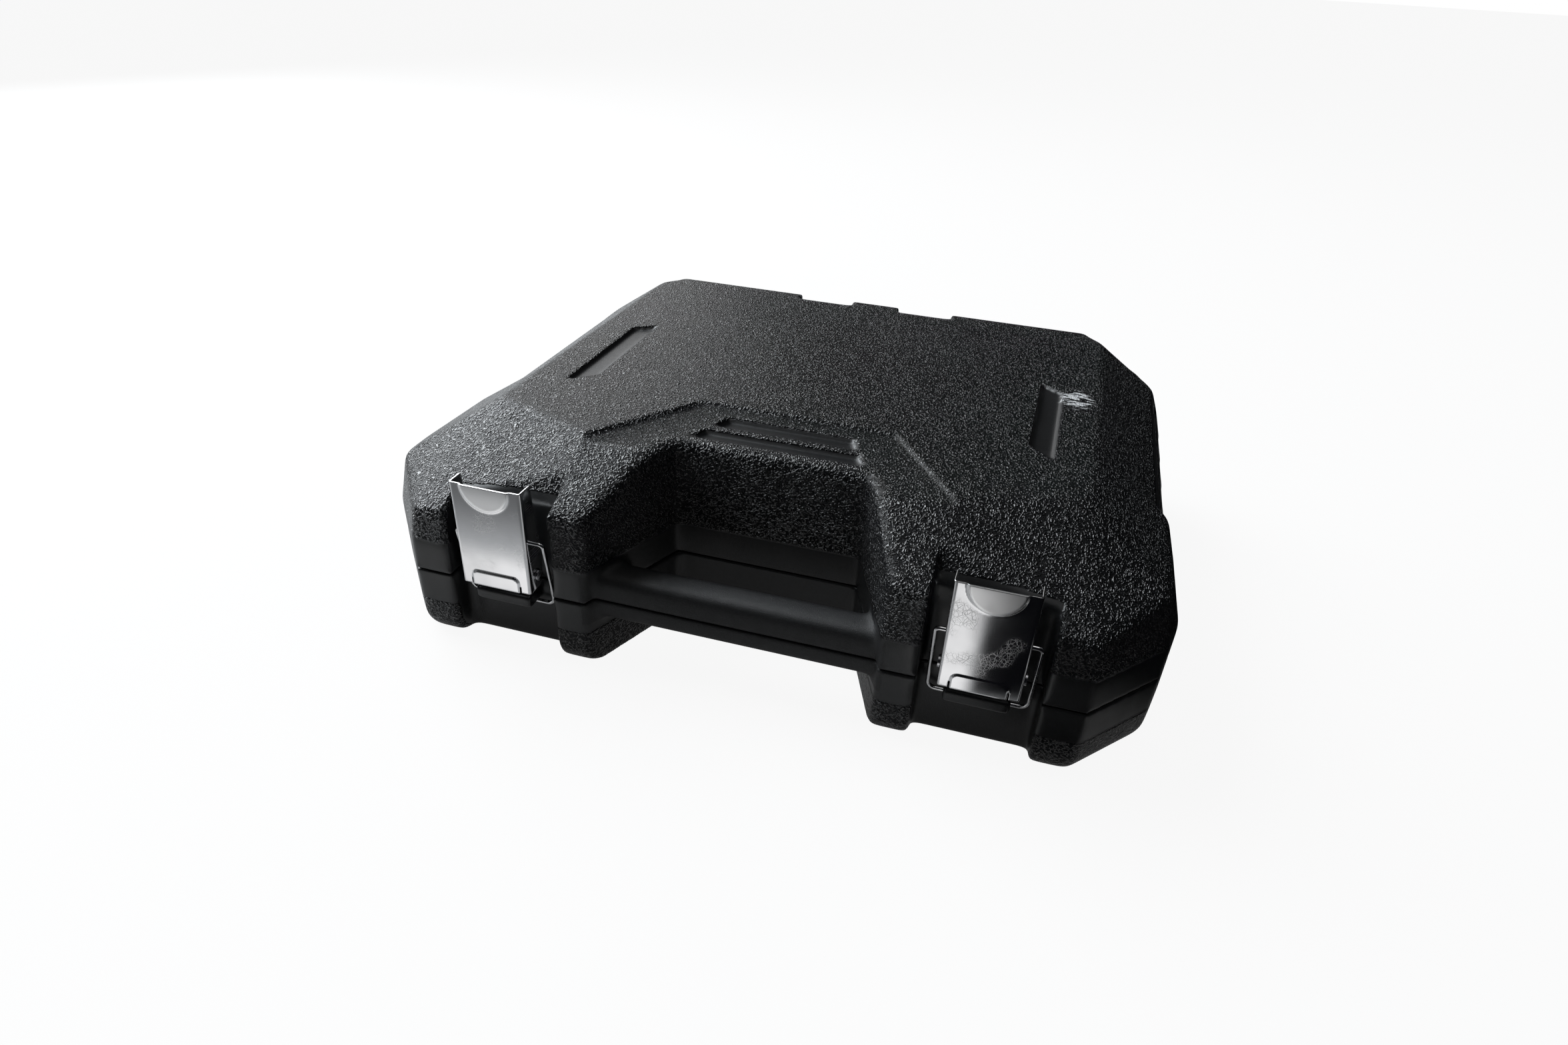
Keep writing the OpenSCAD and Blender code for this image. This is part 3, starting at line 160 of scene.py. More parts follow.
# Glowing cards that paint light into the latch levers' reflections: their edges and strengths.
RIGHT_GLOW_CARD_LEFT, RIGHT_GLOW_CARD_RIGHT = (0.074, 0.088), (0.103, 0.110)
RIGHT_GLOW_CARD_FRONT, RIGHT_GLOW_CARD_Y = 0.4, (-0.33, -0.27)
LEFT_GLOW_CARD_BACK, LEFT_GLOW_CARD_FRONT = (-0.188, -0.198), (-0.236, -0.214)
RIGHT_GLOW, LEFT_GLOW = 1.1, 1.0


# ---- camera ----
def make_camera():
    data = bpy.data.cameras.new("camera")
    cam = bpy.data.objects.new("camera", data)
    scene.collection.objects.link(cam)
    forward = Vector(CAMERA_FORWARD).normalized()
    right = Vector(CAMERA_RIGHT).normalized()
    right = (right - forward * right.dot(forward)).normalized()
    up = right.cross(forward)
    place = Matrix((right, up, -forward)).transposed().to_4x4()
    place.translation = CAMERA_PLACE
    cam.matrix_world = place
    data.sensor_width = SENSOR_MM
    data.lens = SENSOR_MM * FOCAL_PX / PICTURE_W
    data.shift_x = (PICTURE_W / 2 - CENTRE_PX[0]) / PICTURE_W
    data.shift_y = (CENTRE_PX[1] - PICTURE_H / 2) / PICTURE_W
    data.clip_start, data.clip_end = 0.01, 50
    scene.camera = cam


# ---- node helpers ----
class Nodes:
    """Short way to write a node tree."""

    def __init__(self, tree):
        self.tree = tree
        tree.nodes.clear()

    def node(self, kind):
        return self.tree.nodes.new("ShaderNode" + kind)

    def link(self, source, socket):
        self.tree.links.new(source, socket)

    def put(self, socket, value):
        """Links another socket to this one, or sets it to a constant."""
        if isinstance(value, bpy.types.NodeSocket):
            self.link(value, socket)
        elif isinstance(value, tuple) and socket.type == "RGBA":
            socket.default_value = (*value, 1)
        else:
            socket.default_value = value

    def math(self, operation, a, b=0.0, clamp=False):
        n = self.node("Math")
        n.operation = operation
        n.use_clamp = clamp
        self.put(n.inputs[0], a)
        self.put(n.inputs[1], b)
        return n.outputs[0]

    def plus(self, a, b):
        return self.math("ADD", a, b)

    def times(self, a, b):
        return self.math("MULTIPLY", a, b)

    def larger(self, a, b):
        return self.math("MAXIMUM", a, b)

    def ramp(self, value, lo, hi, a=0.0, b=1.0, smooth=True):
        """a where value is lo, b where it is hi, and in between."""
        n = self.node("MapRange")
        n.interpolation_type = "SMOOTHSTEP" if smooth else "LINEAR"
        for i, v in enumerate((value, lo, hi, a, b)):
            self.put(n.inputs[i], v)
        return n.outputs[0]

    def blend(self, share, a, b):
        """Mix of two numbers."""
        n = self.node("Mix")
        for i, v in ((0, share), (2, a), (3, b)):
            self.put(n.inputs[i], v)
        return n.outputs[0]

    def mix(self, share, a, b):
        """Mix of two colours."""
        n = self.node("Mix")
        n.data_type = "RGBA"
        for i, v in ((0, share), (6, a), (7, b)):
            self.put(n.inputs[i], v)
        return n.outputs[2]


class Mat(Nodes):
    """Material with one principled shader. Its textures use the object's own coordinates, in metres."""

    def __init__(self, name):
        self.material = bpy.data.materials.new(name)
        self.material.use_nodes = True
        super().__init__(self.material.node_tree)
        self.surface = self.node("OutputMaterial").inputs[0]
        self.shader = self.node("BsdfPrincipled")
        self.link(self.shader.outputs[0], self.surface)
        self.place = self.node("TexCoord").outputs["Object"]

    def set(self, **values):
        for name, value in values.items():
            self.put(self.shader.inputs[name.replace("_", " ")], value)

    def noise(self, scale, detail=0.0, rough=0.5, bend=0.0, place=None):
        n = self.node("TexNoise")
        self.link(place or self.place, n.inputs["Vector"])
        n.inputs["Scale"].default_value = scale
        n.inputs["Detail"].default_value = detail
        n.inputs["Roughness"].default_value = rough
        n.inputs["Distortion"].default_value = bend
        return n.outputs[0]

    def cells(self, scale, place=None, feature="F1"):
        n = self.node("TexVoronoi")
        n.feature = feature
        self.link(place or self.place, n.inputs["Vector"])
        n.inputs["Scale"].default_value = scale
        return n.outputs["Distance"]

    def stretched(self, scale, turn=(0, 0, 0)):
        """Coordinates for a texture that is scaled and turned."""
        n = self.node("Mapping")
        self.link(self.place, n.inputs[0])
        n.inputs["Rotation"].default_value = turn
        n.inputs["Scale"].default_value = scale
        return n.outputs[0]

    def x_and_y(self):
        n = self.node("SeparateXYZ")
        self.link(self.place, n.inputs[0])
        return n.outputs[0], n.outputs[1]

    def attribute(self, name):
        n = self.node("Attribute")
        n.attribute_name = name
        return n.outputs["Fac"]

    def bump(self, height, distance, strength=1.0):
        n = self.node("Bump")
        n.inputs["Distance"].default_value = distance
        n.inputs["Strength"].default_value = strength
        self.link(height, n.inputs["Height"])
        return n.outputs[0]


# ---- materials ----
def leather(m):
    """Height of a worm-like leather grain, 0 on the ground and 1 on the ridges."""
    worms = m.noise(GRAIN["scale"], bend=GRAIN["bend"])
    ridge = m.ramp(m.math("ABSOLUTE", m.math("SUBTRACT", worms, 0.5)), 0.0, GRAIN["half"], 1.0, 0.0)
    other = m.stretched((1, 1, 1), turn=(0.5, 0.9, 0.3))
    gaps = m.ramp(m.noise(GRAIN["gap_scale"], place=other), *GRAIN["gaps"])
    return m.times(ridge, gaps)


def case_plastic():
    """Black polyethylene, with leather grain, satin, slots and a scuff where the skins' attributes say so."""
    m = Mat("case_polyethylene")
    grain, satin, slot = (m.attribute(name) for name in ("grain", "satin", "slot"))
    marks = m.noise(300, detail=3.0, rough=0.7, bend=0.4, place=m.stretched((0.35, 1.0, 1.0), (0, 0, 0.5)))
    scuffed = m.ramp(m.times(m.attribute("scuff"), m.ramp(marks, 0.42, 0.62)), 0.15, 0.45)

    dust = m.ramp(m.cells(260), 0.028, 0.05, 1.0, 0.0)
    dusty = m.times(dust, m.ramp(m.noise(35, detail=2), 0.55, 0.7))
    blotch = m.noise(14, detail=3.0, rough=0.6)
    base = m.mix(m.ramp(blotch, 0.3, 0.75), PLASTIC_DARK, PLASTIC_PALE)
    base = m.mix(m.times(dusty, m.ramp(grain, 0, 1, 0.45, 0.06)), base, DUST_COLOR)
    base = m.mix(scuffed, base, SCUFF_COLOR)

    wear = m.noise(120, detail=3.0, rough=0.65)
    rough = m.ramp(wear, 0.3, 0.75, *GRAIN["rough"], smooth=False)
    rough_smooth = m.ramp(wear, 0.3, 0.75, *GRAIN["rough_smooth"], smooth=False)
    duller = m.times(m.larger(scuffed, satin), 0.18)
    rough = m.math("ADD", m.blend(grain, rough_smooth, rough), duller, clamp=True)

    worm = leather(m)
    gloss = m.ramp(worm, 0.1, 0.9, *GRAIN["shine"], smooth=False)
    shine = m.times(m.plus(0.5, m.times(grain, gloss)), m.ramp(slot, 0, 1, 1.0, 0.4))

    fine = m.noise(2600, detail=2.0, rough=0.6)
    fine_height = m.times(fine, m.plus(0.08, m.times(satin, 0.13)))
    height = m.plus(m.plus(m.times(worm, grain), m.times(grain, 0.6)), fine_height)
    m.set(Base_Color=base, Roughness=rough, Specular_IOR_Level=shine, IOR=1.5,
          Normal=m.bump(height, GRAIN["high"]))
    return m.material


def scratches(m, scale, angle):
    """Thin straight marks in one direction, 1 on a mark."""
    long_cells = m.stretched((scale, scale * 0.035, scale), turn=(0.3, 0.2, angle))
    line = m.ramp(m.cells(1.0, long_cells, "DISTANCE_TO_EDGE"), 0.0, 0.02, 1.0, 0.0)
    return m.times(line, m.ramp(m.noise(60, detail=1), 0.5, 0.62))


def steel(name, color, rough, scratch=0.5, brush=0.0, axis=0, pressed=False):
    """Scratched steel with two limits of roughness, and brushed along an axis where brush isn't 0.
    With the thumb pad flag set, the pad's attribute makes the pad paler, which is a painted highlight, and
    duller, which is a satin finish."""
    m = Mat(name)
    cloud = m.noise(30, detail=3, rough=0.6)
    fine = m.noise(900, detail=2, rough=0.6)
    marks = m.larger(scratches(m, 420, 0.4), scratches(m, 300, 1.9))
    marks = m.larger(marks, scratches(m, 380, -0.7))
    dark = tuple(c * 0.82 for c in color)
    base = m.mix(m.ramp(cloud, 0.25, 0.8), color, dark)
    base = m.mix(m.times(marks, 0.25 * scratch), base, MARK_COLOR)
    roughness = m.plus(m.ramp(cloud, 0.3, 0.7, *rough, smooth=False), m.times(marks, 0.22 * scratch))
    height = m.plus(m.times(marks, -0.3 * scratch), m.times(fine, 0.08))
    if brush:
        scale = [40, 40, 40]
        scale[axis] = 1.2
        lines = m.noise(45, detail=3, rough=0.7, place=m.stretched(scale))
        height = m.plus(height, m.times(lines, brush))
        roughness = m.plus(roughness, m.times(lines, 0.12 * brush))
    # Thumb pad: the paler colour is a painted highlight, and the added roughness is a satin finish.
    if pressed:
        roughness = m.plus(roughness, m.times(m.attribute("pressed"), 0.22))
        base = m.mix(m.attribute("pressed"), base, PAD_HIGHLIGHT_COLOR)
    m.set(Base_Color=base, Metallic=1.0, Roughness=roughness, Normal=m.bump(height, 0.00003, 0.6))
    return m.material


def grip_material():
    """Black rubber of the tools' grips, with faint rings."""
    m = Mat("grip_rubber")
    fine = m.noise(1500, detail=2, rough=0.6)
    rings = m.node("TexWave")
    m.link(m.place, rings.inputs[0])
    rings.inputs["Scale"].default_value = 60
    height = m.plus(m.times(fine, 0.5), m.times(rings.outputs["Fac"], 0.3))
    base = m.mix(m.noise(25, detail=3), (0.012, 0.012, 0.013), (0.022, 0.022, 0.023))
    m.set(Base_Color=base, Roughness=m.ramp(fine, 0.3, 0.7, 0.42, 0.6), Normal=m.bump(height, 0.00015))
    return m.material


def rubber_material():
    """Matt black rubber of the sleeves in the spark plug sockets."""
    m = Mat("sleeve_rubber")
    fine = m.noise(1100, detail=3, rough=0.6)
    base = m.mix(m.noise(60, detail=2), (0.008, 0.008, 0.008), (0.016, 0.016, 0.016))
    m.set(Base_Color=base, Roughness=m.ramp(fine, 0.3, 0.7, 0.6, 0.8), Normal=m.bump(fine, 0.0001))
    return m.material


def foam_material():
    """Closed cell foam: a matt skin with small open cells."""
    m = Mat("black_cell_foam")
    cells = m.cells(900)
    pits = m.ramp(m.cells(420), 0.05, 0.22)
    height = m.plus(m.times(cells, 0.6), m.times(pits, 0.5))
    cloud = m.ramp(m.noise(40, detail=3, rough=0.6), 0.3, 0.7)
    base = m.mix(cloud, (0.014, 0.0145, 0.0155), (0.026, 0.0265, 0.028))
    m.set(Base_Color=base, Roughness=m.ramp(cells, 0.1, 0.6, 0.75, 0.92), Specular_IOR_Level=0.3,
          Normal=m.bump(height, 0.0002))
    return m.material


def oxide_material():
    """Black oxide of the hex keys, worn to steel in places."""
    m = Mat("black_oxide")
    cloud = m.noise(90, detail=3, rough=0.6)
    worn = m.ramp(m.noise(240, detail=4, rough=0.7), 0.62, 0.72)
    base = m.mix(worn, (0.02, 0.02, 0.022), (0.12, 0.11, 0.10))
    m.set(Base_Color=base, Metallic=0.9, Roughness=m.ramp(cloud, 0.3, 0.7, 0.32, 0.48),
          Normal=m.bump(m.noise(1600, detail=2), 0.00004))
    return m.material


def dress_nodes():
    """Gives every CAD node its material, and returns those of the case and of the latch levers."""
    plastic = case_plastic()
    sheet = steel("latch_sheet_steel", (0.78, 0.78, 0.79), (0.07, 0.16), 1.0, pressed=True)
    by_slot = {
        "case_lid": plastic,
        "case_base": plastic,
        "latch_sheet": sheet,
        "polished_chrome": steel("polished_chrome_steel", (0.80, 0.81, 0.83), (0.06, 0.13), 0.35),
        "satin_chrome": steel("satin_chrome_steel", (0.62, 0.63, 0.65), (0.28, 0.36), 0.3, 0.25, 0),
        "bail_wire": steel("bail_wire_steel", (0.72, 0.72, 0.73), (0.10, 0.2)),
        "pin_steel": steel("pin_turned_steel", (0.58, 0.58, 0.60), (0.18, 0.3)),
        "plain_steel": steel("plain_ground_steel", (0.36, 0.36, 0.37), (0.25, 0.4), 0.6, 0.3, 2),
        "tool_grip": grip_material(),
        "plug_rubber": rubber_material(),
        "hex_key_steel": oxide_material(),
        "tray_foam": foam_material(),
    }
    slots = {part["node"]: part["material_slot"] for part in frame["record"]["subparts"]}
    for name, obj in nodes.items():
        for material_slot in obj.material_slots:
            material_slot.material = by_slot[slots[name]]
    return plastic, sheet


# ---- helpers for meshes ----
def coords(mesh):
    co = np.empty(len(mesh.vertices) * 3)
    mesh.vertices.foreach_get("co", co)
    return co.reshape(-1, 3)


def step(v, lo, hi):
    """0 where v is lo, 1 where it is hi, and smooth in between."""
    t = np.clip((v - lo) / (hi - lo), 0, 1)
    return t * t * (3 - 2 * t)


def soft(v, lo, hi, least):
    """Share of the rounding: least where v is lo, and all of it where v is hi."""
    return least + (1 - least) * step(v, lo, hi)


def inside(x, y, outline):
    """Signed distance into a convex outline that runs anticlockwise."""
    depth = np.full(len(x), np.inf)
    for (x0, y0), (x1, y1) in zip(outline, outline[1:] + outline[:1]):
        length = math.hypot(x1 - x0, y1 - y0)
        depth = np.minimum(depth, ((x1 - x0) * (y - y0) - (y1 - y0) * (x - x0)) / length)
    return depth


def give(mesh, name, values):
    """Stores one number per vertex for the materials."""
    layer = mesh.attributes.new(name, "FLOAT", "POINT")
    layer.data.foreach_set("value", values.astype(np.float32))


def relax(mesh, weight, passes):
    """Moves each vertex towards its neighbours, by weight, a number of times."""
    count = len(mesh.vertices)
    co = coords(mesh)
    ends = np.empty(len(mesh.edges) * 2, np.int64)
    mesh.edges.foreach_get("vertices", ends)
    a, b = ends.reshape(-1, 2).T
    degree = np.maximum(np.bincount(a, minlength=count) + np.bincount(b, minlength=count), 1)
    for _ in range(passes):
        for axis in range(3):
            total = np.bincount(a, co[b, axis], count) + np.bincount(b, co[a, axis], count)
            co[:, axis] += weight * (total / degree - co[:, axis])
    mesh.vertices.foreach_set("co", co.ravel())
    mesh.update()


def show(name, mesh, material):
    """Smooth object with one material."""
    for p in mesh.polygons:
        p.use_smooth = True
    mesh.materials.clear()
    mesh.materials.append(material)
    obj = bpy.data.objects.new(name, mesh)
    scene.collection.objects.link(obj)
    return obj


# ---- the case: the solids' outer skin with rounded edges ----
def outer_copy(node):
    """Mesh of a CAD node's widest shell, so without the sealed hollow inside it."""
    bm = bmesh.new()
    bm.from_mesh(nodes[node].data)
    bmesh.ops.remove_doubles(bm, verts=bm.verts, dist=WELD)
    bm.verts.ensure_lookup_table()
    seen, islands = set(), []
    for start in bm.verts:
        if start.index in seen:
            continue
        stack, island = [start], []
        seen.add(start.index)
        while stack:
            vert = stack.pop()
            island.append(vert)
            for edge in vert.link_edges:
                other = edge.other_vert(vert)
                if other.index not in seen:
                    seen.add(other.index)
                    stack.append(other)
        islands.append(island)
    islands.sort(key=lambda island: max(v.co.x for v in island) - min(v.co.x for v in island))
    bmesh.ops.delete(bm, geom=[v for island in islands[:-1] for v in island], context="VERTS")
    mesh = bpy.data.meshes.new(node + "_skin")
    bm.to_mesh(mesh)
    bm.free()
    return mesh


def voxel_skin(node, name, voxel):
    """Even mesh over the skin of a CAD node."""
    coarse = bpy.data.objects.new(name + "_tmp", outer_copy(node))
    scene.collection.objects.link(coarse)
    remesh = coarse.modifiers.new("remesh", "REMESH")
    remesh.mode = "VOXEL"
    remesh.voxel_size = voxel
    remesh.adaptivity = 0
    bpy.context.view_layer.update()
    mesh = bpy.data.meshes.new_from_object(coarse.evaluated_get(bpy.context.evaluated_depsgraph_get()))
    bpy.data.objects.remove(coarse)
    mesh.name = name
    return mesh


def near_latch(x, half):
    return np.abs(np.abs(x) - LATCH_X) < half


def on_handle(x, y):
    return (inside(x, y, HAND) > HANDLE["side"]) & (y < HANDLE["y"])


def ornament_distance(x, y):
    """Distance to the nearest edge of the field, slots and panels."""
    depths = [inside(x, y, FIELD), inside(np.abs(x), y, PANEL), *(inside(x, y, slot) for slot in SLOTS)]
    return np.abs(depths).min(axis=0)


def in_cavity(x, y, limits):
    return (inside(x, y, CAVITY) > limits["side"]) & (inside(x, y, HAND) < limits["hand"])


def lid_cavity(x, y, z):
    """True on the walls and the ceiling over the tools."""
    return in_cavity(x, y, LID_CAVITY) & (z < LID_CAVITY["ceiling"])


def base_cavity(x, y, z):
    """True on the walls and the floor around the trays."""
    return in_cavity(x, y, BASE_CAVITY) & (z > BASE_CAVITY["floor"])


def lid_shell(material, voxel):
    """Upper half, with its grain, satin handle, slots and scuff."""
    mesh = voxel_skin("case_lid", "lid_shell", voxel)
    finer = (VOXEL_PASSES / voxel) ** 2
    x, y, z = coords(mesh).T * PER_M
    softness = np.minimum.reduce([
        soft(z, PART_Z + SEAM_NEAR, PART_Z + SEAM_FAR, SEAM_SOFT),
        np.where(z > FACE_LOW, soft(ornament_distance(x, y), ORNAMENT_NEAR, ORNAMENT_FAR, ORNAMENT_SOFT), 1),
        np.where(lid_cavity(x, y, z), LID_CAVITY_SOFT, 1),
        np.where(y > HINGE_Y, HINGE_SOFT, 1),
        np.where((y < LUGS["y"]) & near_latch(x, LUGS["half"]) & (z < LUGS["top"]), LUGS_SOFT, 1)])
    rim = step(np.abs(inside(x, y, HAND)), RIM_FAR, RIM_NEAR) * step(z, RIM_LOW, RIM_HIGH)
    relax(mesh, RELAX * softness, round(EDGE_PASSES * finer))
    relax(mesh, RELAX * rim * softness, round(RIM_PASSES * finer))

    x, y, z = coords(mesh).T * PER_M
    top = z > TOP_LOW
    handle = on_handle(x, y) & (z < HANDLE["top"])
    grain = step(z, BAND_TOP - BAND_FADE, BAND_TOP + BAND_FADE)
    grain[near_latch(x, LATCH_HALF) & (y < LATCH_LID_Y)] = 0
    grain[lid_cavity(x, y, z) | handle] = 0
    for depth in (inside(np.abs(x), y, PANEL), *(inside(x, y, slot) for slot in SLOTS)):
        grain *= 1 - step(depth, *SINK_FADE) * top
    (scuff_x, scuff_y), (spread_x, spread_y) = SCUFF["place"], SCUFF["spread"]
    scuff = np.exp(-(((x - scuff_x) / spread_x) ** 2 + ((y - scuff_y) / spread_y) ** 2)) * (z > SCUFF["low"])
    give(mesh, "grain", grain)
    give(mesh, "satin", handle)
    give(mesh, "slot", np.max([step(inside(x, y, slot), *SLOT_FADE) for slot in SLOTS], axis=0) * top)
    give(mesh, "scuff", scuff)
    obj = show("lid_shell", mesh, material)
    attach(obj, "lid")
    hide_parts("case_lid")


def base_shell(material, voxel):
    """Lower half, with its grain and satin handle."""
    mesh = voxel_skin("case_base", "base_shell", voxel)
    finer = (VOXEL_PASSES / voxel) ** 2
    x, y, z = coords(mesh).T * PER_M
    softness = np.minimum.reduce([
        soft(z, PART_Z - SEAM_NEAR, PART_Z - SEAM_FAR, SEAM_SOFT),
        np.where(base_cavity(x, y, z), BASE_CAVITY_SOFT, 1),
        np.where(y > HINGE_Y, HINGE_SOFT, 1),
        np.where((y < KEEPER["y"]) & near_latch(x, KEEPER["half"]) & (z > KEEPER["low"]), KEEPER_SOFT, 1)])
    relax(mesh, RELAX * softness, round(EDGE_PASSES * finer))

    x, y, z = coords(mesh).T * PER_M
    handle = on_handle(x, y) & (z > HANDLE["low"])
    grain = step(z, BAND_LOW + BAND_FADE, BAND_LOW - BAND_FADE)
    grain[near_latch(x, LATCH_HALF) & (y < LATCH_BASE_Y)] = 0
    grain[base_cavity(x, y, z) | handle] = 0
    give(mesh, "grain", grain)
    give(mesh, "satin", handle)
    for name in ("slot", "scuff"):
        give(mesh, name, np.zeros(len(x)))
    obj = show("base_shell", mesh, material)
    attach(obj, "base")
    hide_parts("case_base")


# ---- latch levers: u runs across the face from its middle, v up from its lower edge, and depth inwards ----
def pad_share(u, v):
    """1 on the half round thumb pad at the top of a lever and 0 beside it."""
    return step(math.hypot(u, (v - LEVER_H) * PAD["squash"]), PAD["outer"], PAD["inner"])


def relief(u, v):
    """How far the lever's face stands out: the thumb pad, and the tab with its round upper corners."""
    rise = PAD["low"] + (1 - PAD["low"]) * step(v, LEVER_H - PAD["rise"], LEVER_H)
    corner_u, corner_v = abs(u) - TAB["half"] + TAB["corner"], v - TAB["top"] + TAB["corner"]
    outside = max(abs(u) - TAB["half"], v - TAB["top"])
    if corner_u > 0 and corner_v > 0:
        outside = math.hypot(corner_u, corner_v) - TAB["corner"]
    tab = TAB["high"] * step(outside, TAB["edge"], -TAB["edge"])
    return max(PAD["high"] * pad_share(u, v) * rise, tab)


def lever_row(v):
    """Points (u, depth, v) of a lever's section: a flange, a bend, the face, a bend and a flange."""
    half, flange = LEVER_W / 2, np.interp(v, FLANGE_HEIGHTS, FLANGE_DEPTHS)
    side = [(-half, BEND + (1 - i / FLANGE_STEPS) * (flange - BEND)) for i in range(FLANGE_STEPS)]
    for i in range(BEND_STEPS):
        angle = i / BEND_STEPS * math.pi / 2
        side.append((-half + BEND - BEND * math.cos(angle), BEND - BEND * math.sin(angle)))
    across = [-half + BEND + i / FACE_STEPS * (LEVER_W - 2 * BEND) for i in range(FACE_STEPS + 1)]
    face = [(u, -relief(u, v)) for u in across]
    other_side = [(-u, depth) for u, depth in reversed(side)]
    return [(u, depth, v) for u, depth in side + face + other_side]


def in_slit(points):
    """True for a face whose middle lies in one of the two slits beside the tab."""
    u, depth, v = np.mean(points, axis=0)
    return abs(abs(u) - SLIT["u"]) < SLIT["half"] and v < SLIT["top"] and depth < SLIT["depth"]


def lever(side, material):
    """Bent sheet of a latch lever, with its pad, tab and slits."""
    points = [point for j in range(ROWS + 1) for point in lever_row(LEVER_H * j / ROWS)]
    count = len(points) // (ROWS + 1)
    starts = [j * count + i for j in range(ROWS) for i in range(count - 1)]
    faces = [(a, a + 1, a + count + 1, a + count) for a in starts]
    faces = [face for face in faces if not in_slit([points[i] for i in face])]
    middle = LATCH_X if side == "right" else -LATCH_X
    verts = [((middle + u) * MM, (LEVER_Y + depth) * MM, (LEVER_Z0 + v) * MM) for u, depth, v in points]
    mesh = bpy.data.meshes.new(f"lever_{side}")
    mesh.from_pydata(verts, [], faces)
    # 1 on the thumb pad, where the steel gets a painted highlight and a satin finish.
    give(mesh, "pressed", np.array([pad_share(u, v) * (depth < PAD["depth"]) for u, depth, v in points]))
    obj = show(f"lever_{side}_sheet", mesh, material)
    solid = obj.modifiers.new("thickness", "SOLIDIFY")
    solid.thickness = SHEET * MM
    solid.offset = -1
    solid.use_even_offset = True
    edge = obj.modifiers.new("edge", "BEVEL")
    edge.width = LEVER_EDGE * MM
    edge.segments = 2
    edge.limit_method = "ANGLE"
    edge.angle_limit = math.radians(EDGE_ANGLE)
    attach(obj, f"lever_{side}")
    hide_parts(f"latch_lever_{side}")


# ---- light and stage ----
def window():
    data = bpy.data.lights.new("window", "AREA")
    data.shape = "RECTANGLE"
    data.size, data.size_y = WINDOW["size"]
    data.energy = WINDOW["power"]
    data.color = WINDOW["color"]
    obj = bpy.data.objects.new("window", data)
    obj.location = WINDOW["place"]
    obj.rotation_mode = "QUATERNION"
    obj.rotation_quaternion = (Vector(WINDOW["aim"]) - Vector(WINDOW["place"])).to_track_quat("-Z", "Y")
    scene.collection.objects.link(obj)


def shown_ray(m, path):
    """1 for camera and transmission rays."""
    return m.larger(path.outputs["Is Camera Ray"], path.outputs["Is Transmission Ray"])


def background_world():
    """White for the camera. For all else a dim room, brighter overhead and behind the case on the left."""
    world = bpy.data.worlds.new("studio")
    world.use_nodes = True
    m = Nodes(world.node_tree)
    way = m.node("TexCoord").outputs["Generated"]
    glow = ROOM
    for azimuth, height, outer, inner, strength in ROOM_LIGHTS:
        a, h = math.radians(azimuth), math.radians(height)
        towards = m.node("VectorMath")
        towards.operation = "DOT_PRODUCT"
        m.link(way, towards.inputs[0])
        towards.inputs[1].default_value = (math.cos(h) * math.cos(a), math.cos(h) * math.sin(a), math.sin(h))
        rim, core = math.cos(math.radians(outer)), math.cos(math.radians(inner))
        glow = m.plus(m.ramp(towards.outputs["Value"], rim, core, 0.0, strength), glow)
    background = m.node("Background")
    background.inputs["Color"].default_value = (1, 1, 1, 1)
    m.link(m.blend(shown_ray(m, m.node("LightPath")), glow, 1.0), background.inputs["Strength"])
    m.link(background.outputs[0], m.node("OutputWorld").inputs[0])
    scene.world = world


def rectangle(x0, x1, y0, y1, z):
    return [(x0, y0, z), (x1, y0, z), (x1, y1, z), (x0, y1, z)]


def flat(name, corners, material):
    """One flat face of the stage."""
    mesh = bpy.data.meshes.new(name)
    mesh.from_pydata(corners, [], [tuple(range(len(corners)))])
    mesh.materials.append(material)
    obj = bpy.data.objects.new(name, mesh)
    scene.collection.objects.link(obj)
    return obj


def floor():
    """White to the camera, with the case's shadow. Reflections see it darker."""
    m = Mat("pale_floor")
    path = m.node("LightPath")
    shown, glossy = shown_ray(m, path), path.outputs["Is Glossy Ray"]
    glow = m.node("Emission")
    m.put(glow.inputs["Strength"], m.larger(shown, m.times(glossy, FLOOR["glow"])))
    m.set(Base_Color=FLOOR["color"], Roughness=FLOOR["rough"], Specular_IOR_Level=0.0)
    mix = m.node("MixShader")
    m.link(m.larger(m.times(shown, FLOOR["shown"]), m.times(glossy, FLOOR["mirrored"])), mix.inputs[0])
    m.link(m.shader.outputs[0], mix.inputs[1])
    m.link(glow.outputs[0], mix.inputs[2])
    m.link(mix.outputs[0], m.surface)
    half = FLOOR["half"]
    flat("floor", rectangle(-half, half, -half, half, 0), m.material)


def card(name, corners, cover=None, glow=0.0):
    """Card that only glossy reflections see, black for painted shade or glowing for painted light. cover
    gives its opacity, where it isn't 1.
    """
    m = Mat(name)
    m.set(Base_Color=CARD_COLOR, Roughness=1.0, Specular_IOR_Level=0.0)
    m.set(Emission_Color=(1.0, 1.0, 1.0), Emission_Strength=glow)
    if cover:
        m.set(Alpha=cover(m))
    obj = flat(name, corners, m.material)
    obj.visible_camera = False
    obj.visible_diffuse = False
    obj.visible_shadow = False
    obj.visible_transmission = False


def floor_shade_cover(m):
    """Opacity of the floor card of painted shade: dim in front, and black as painted shadow at the right
    latch and beside the case.
    """
    x, y = m.x_and_y()
    dim = m.ramp(y, *DIM_Y, DIM, 0.0)
    latch = m.times(m.ramp(x, *LATCH_SHADE_X), m.ramp(y, *LATCH_SHADE_Y, 1.0, 0.0))
    return m.larger(m.larger(dim, latch), m.ramp(x, *SIDE_SHADE_X))


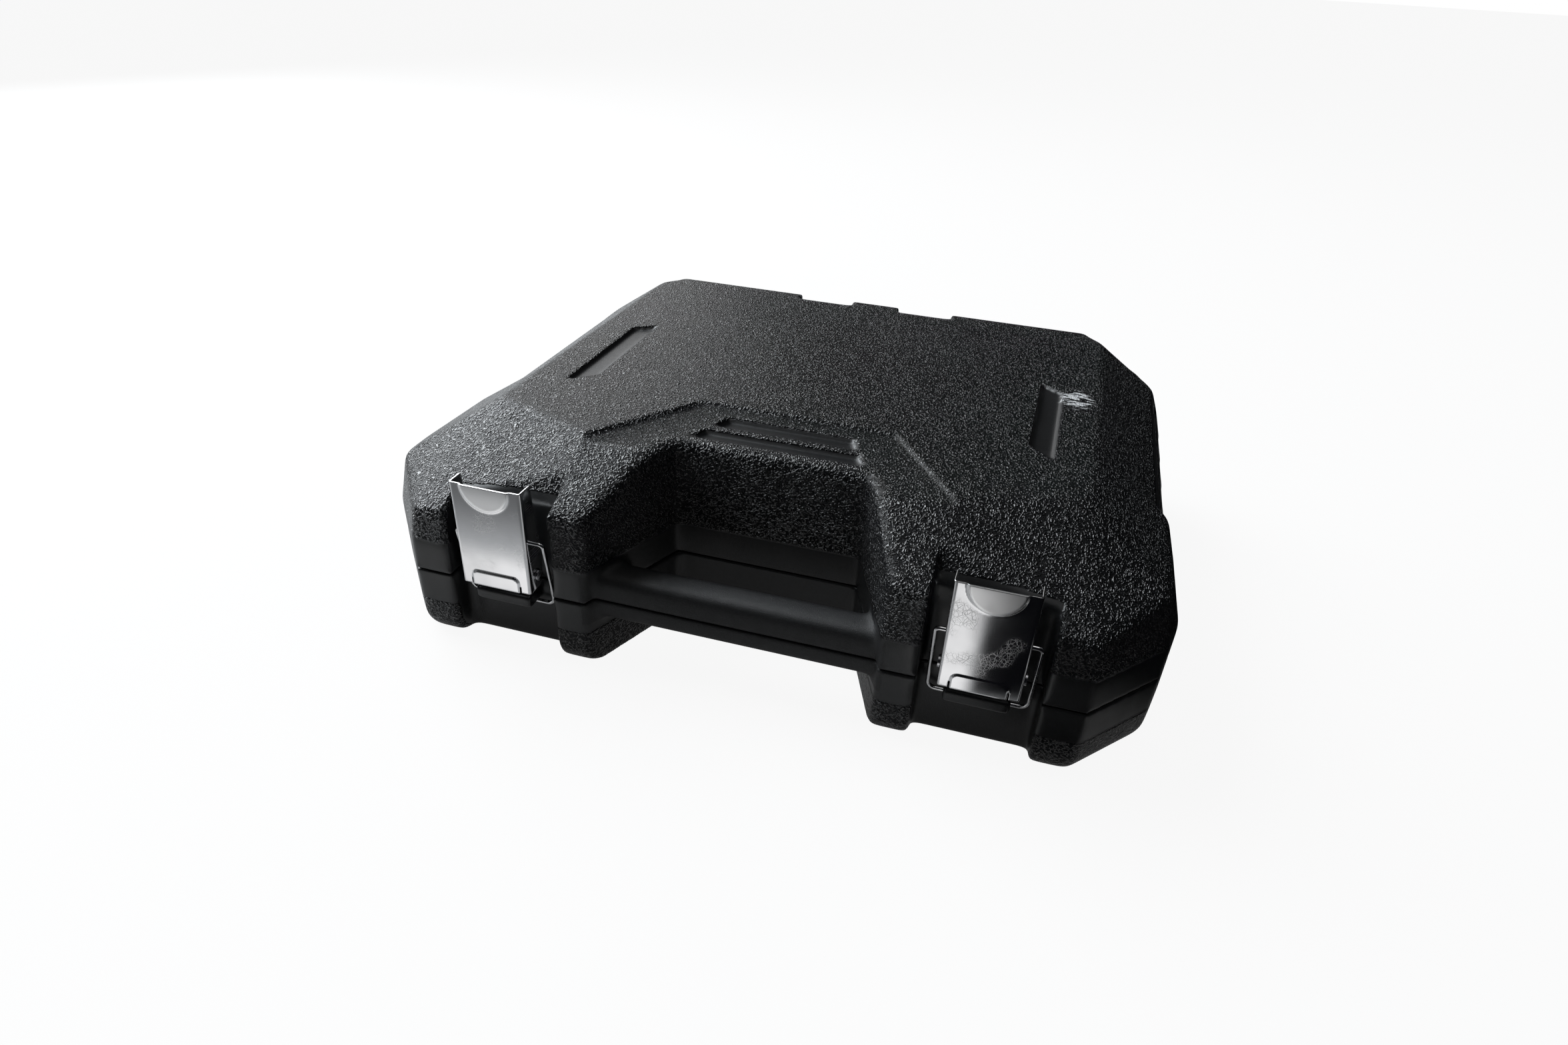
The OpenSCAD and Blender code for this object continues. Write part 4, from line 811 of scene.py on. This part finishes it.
def right_glow_cover(m):
    """Opacity of the glowing card in front of the right latch, a painted reflection of light, with soft
    sides.
    """
    x, y = m.x_and_y()
    across = m.times(m.ramp(x, *RIGHT_GLOW_CARD_LEFT), m.ramp(x, *RIGHT_GLOW_CARD_RIGHT, 1.0, 0.0))
    return m.times(across, m.ramp(y, *RIGHT_GLOW_CARD_Y, RIGHT_GLOW_CARD_FRONT, 1.0))


def left_glow_cover(m):
    """Opacity of the glowing card in front of the left latch, a painted reflection of light."""
    y = m.x_and_y()[1]
    return m.times(m.ramp(y, *LEFT_GLOW_CARD_BACK), m.ramp(y, *LEFT_GLOW_CARD_FRONT))


def cards():
    """Black cards of painted shade in front, on the floor and on the right, and for each latch a glowing card
    that paints light into its reflections.
    """
    front = [(-0.4, 0.0), (1.6, 0.0), (1.6, 1.0), (-0.4, 1.0)]
    # Painted shade for reflections in front of the case.
    card("shade_card_front", [(x, CARD_NEAR, z) for x, z in front])
    around = [(CARD_LEFT, CARD_NEAR), (CARD_FAR, CARD_NEAR), (CARD_FAR, CARD_FAR), (CASE_SIDE, CARD_FAR),
              (CASE_SIDE, CARD_BACK), (CARD_LEFT, CARD_BACK)]
    # Painted shade on the floor, seen only in reflections.
    card("shade_card_floor", [(x, y, CARD_Z) for x, y in around], floor_shade_cover)
    # Painted shadow on the floor right of the right latch, seen only in reflections.
    card("shade_card_right", rectangle(0.122, CASE_SIDE, CARD_BACK, -0.157, CARD_Z))
    # Glowing cards that paint light into the reflections of the latch levers. They are not lamps.
    card("glow_card_right", rectangle(0.04, 0.12, -0.33, -0.195, GLOW_CARD_Z), right_glow_cover, glow=RIGHT_GLOW)
    card("glow_card_left", rectangle(-0.22, -0.12, -0.24, CARD_BACK, GLOW_CARD_Z), left_glow_cover, glow=LEFT_GLOW)


# ---- everything put together ----
make_camera()
background_world()
floor()
cards()
window()
plastic, sheet = dress_nodes()
voxel = VOXEL_FULL
lid_shell(plastic, voxel)
base_shell(plastic, voxel)
for side in ("left", "right"):
    lever(side, sheet)
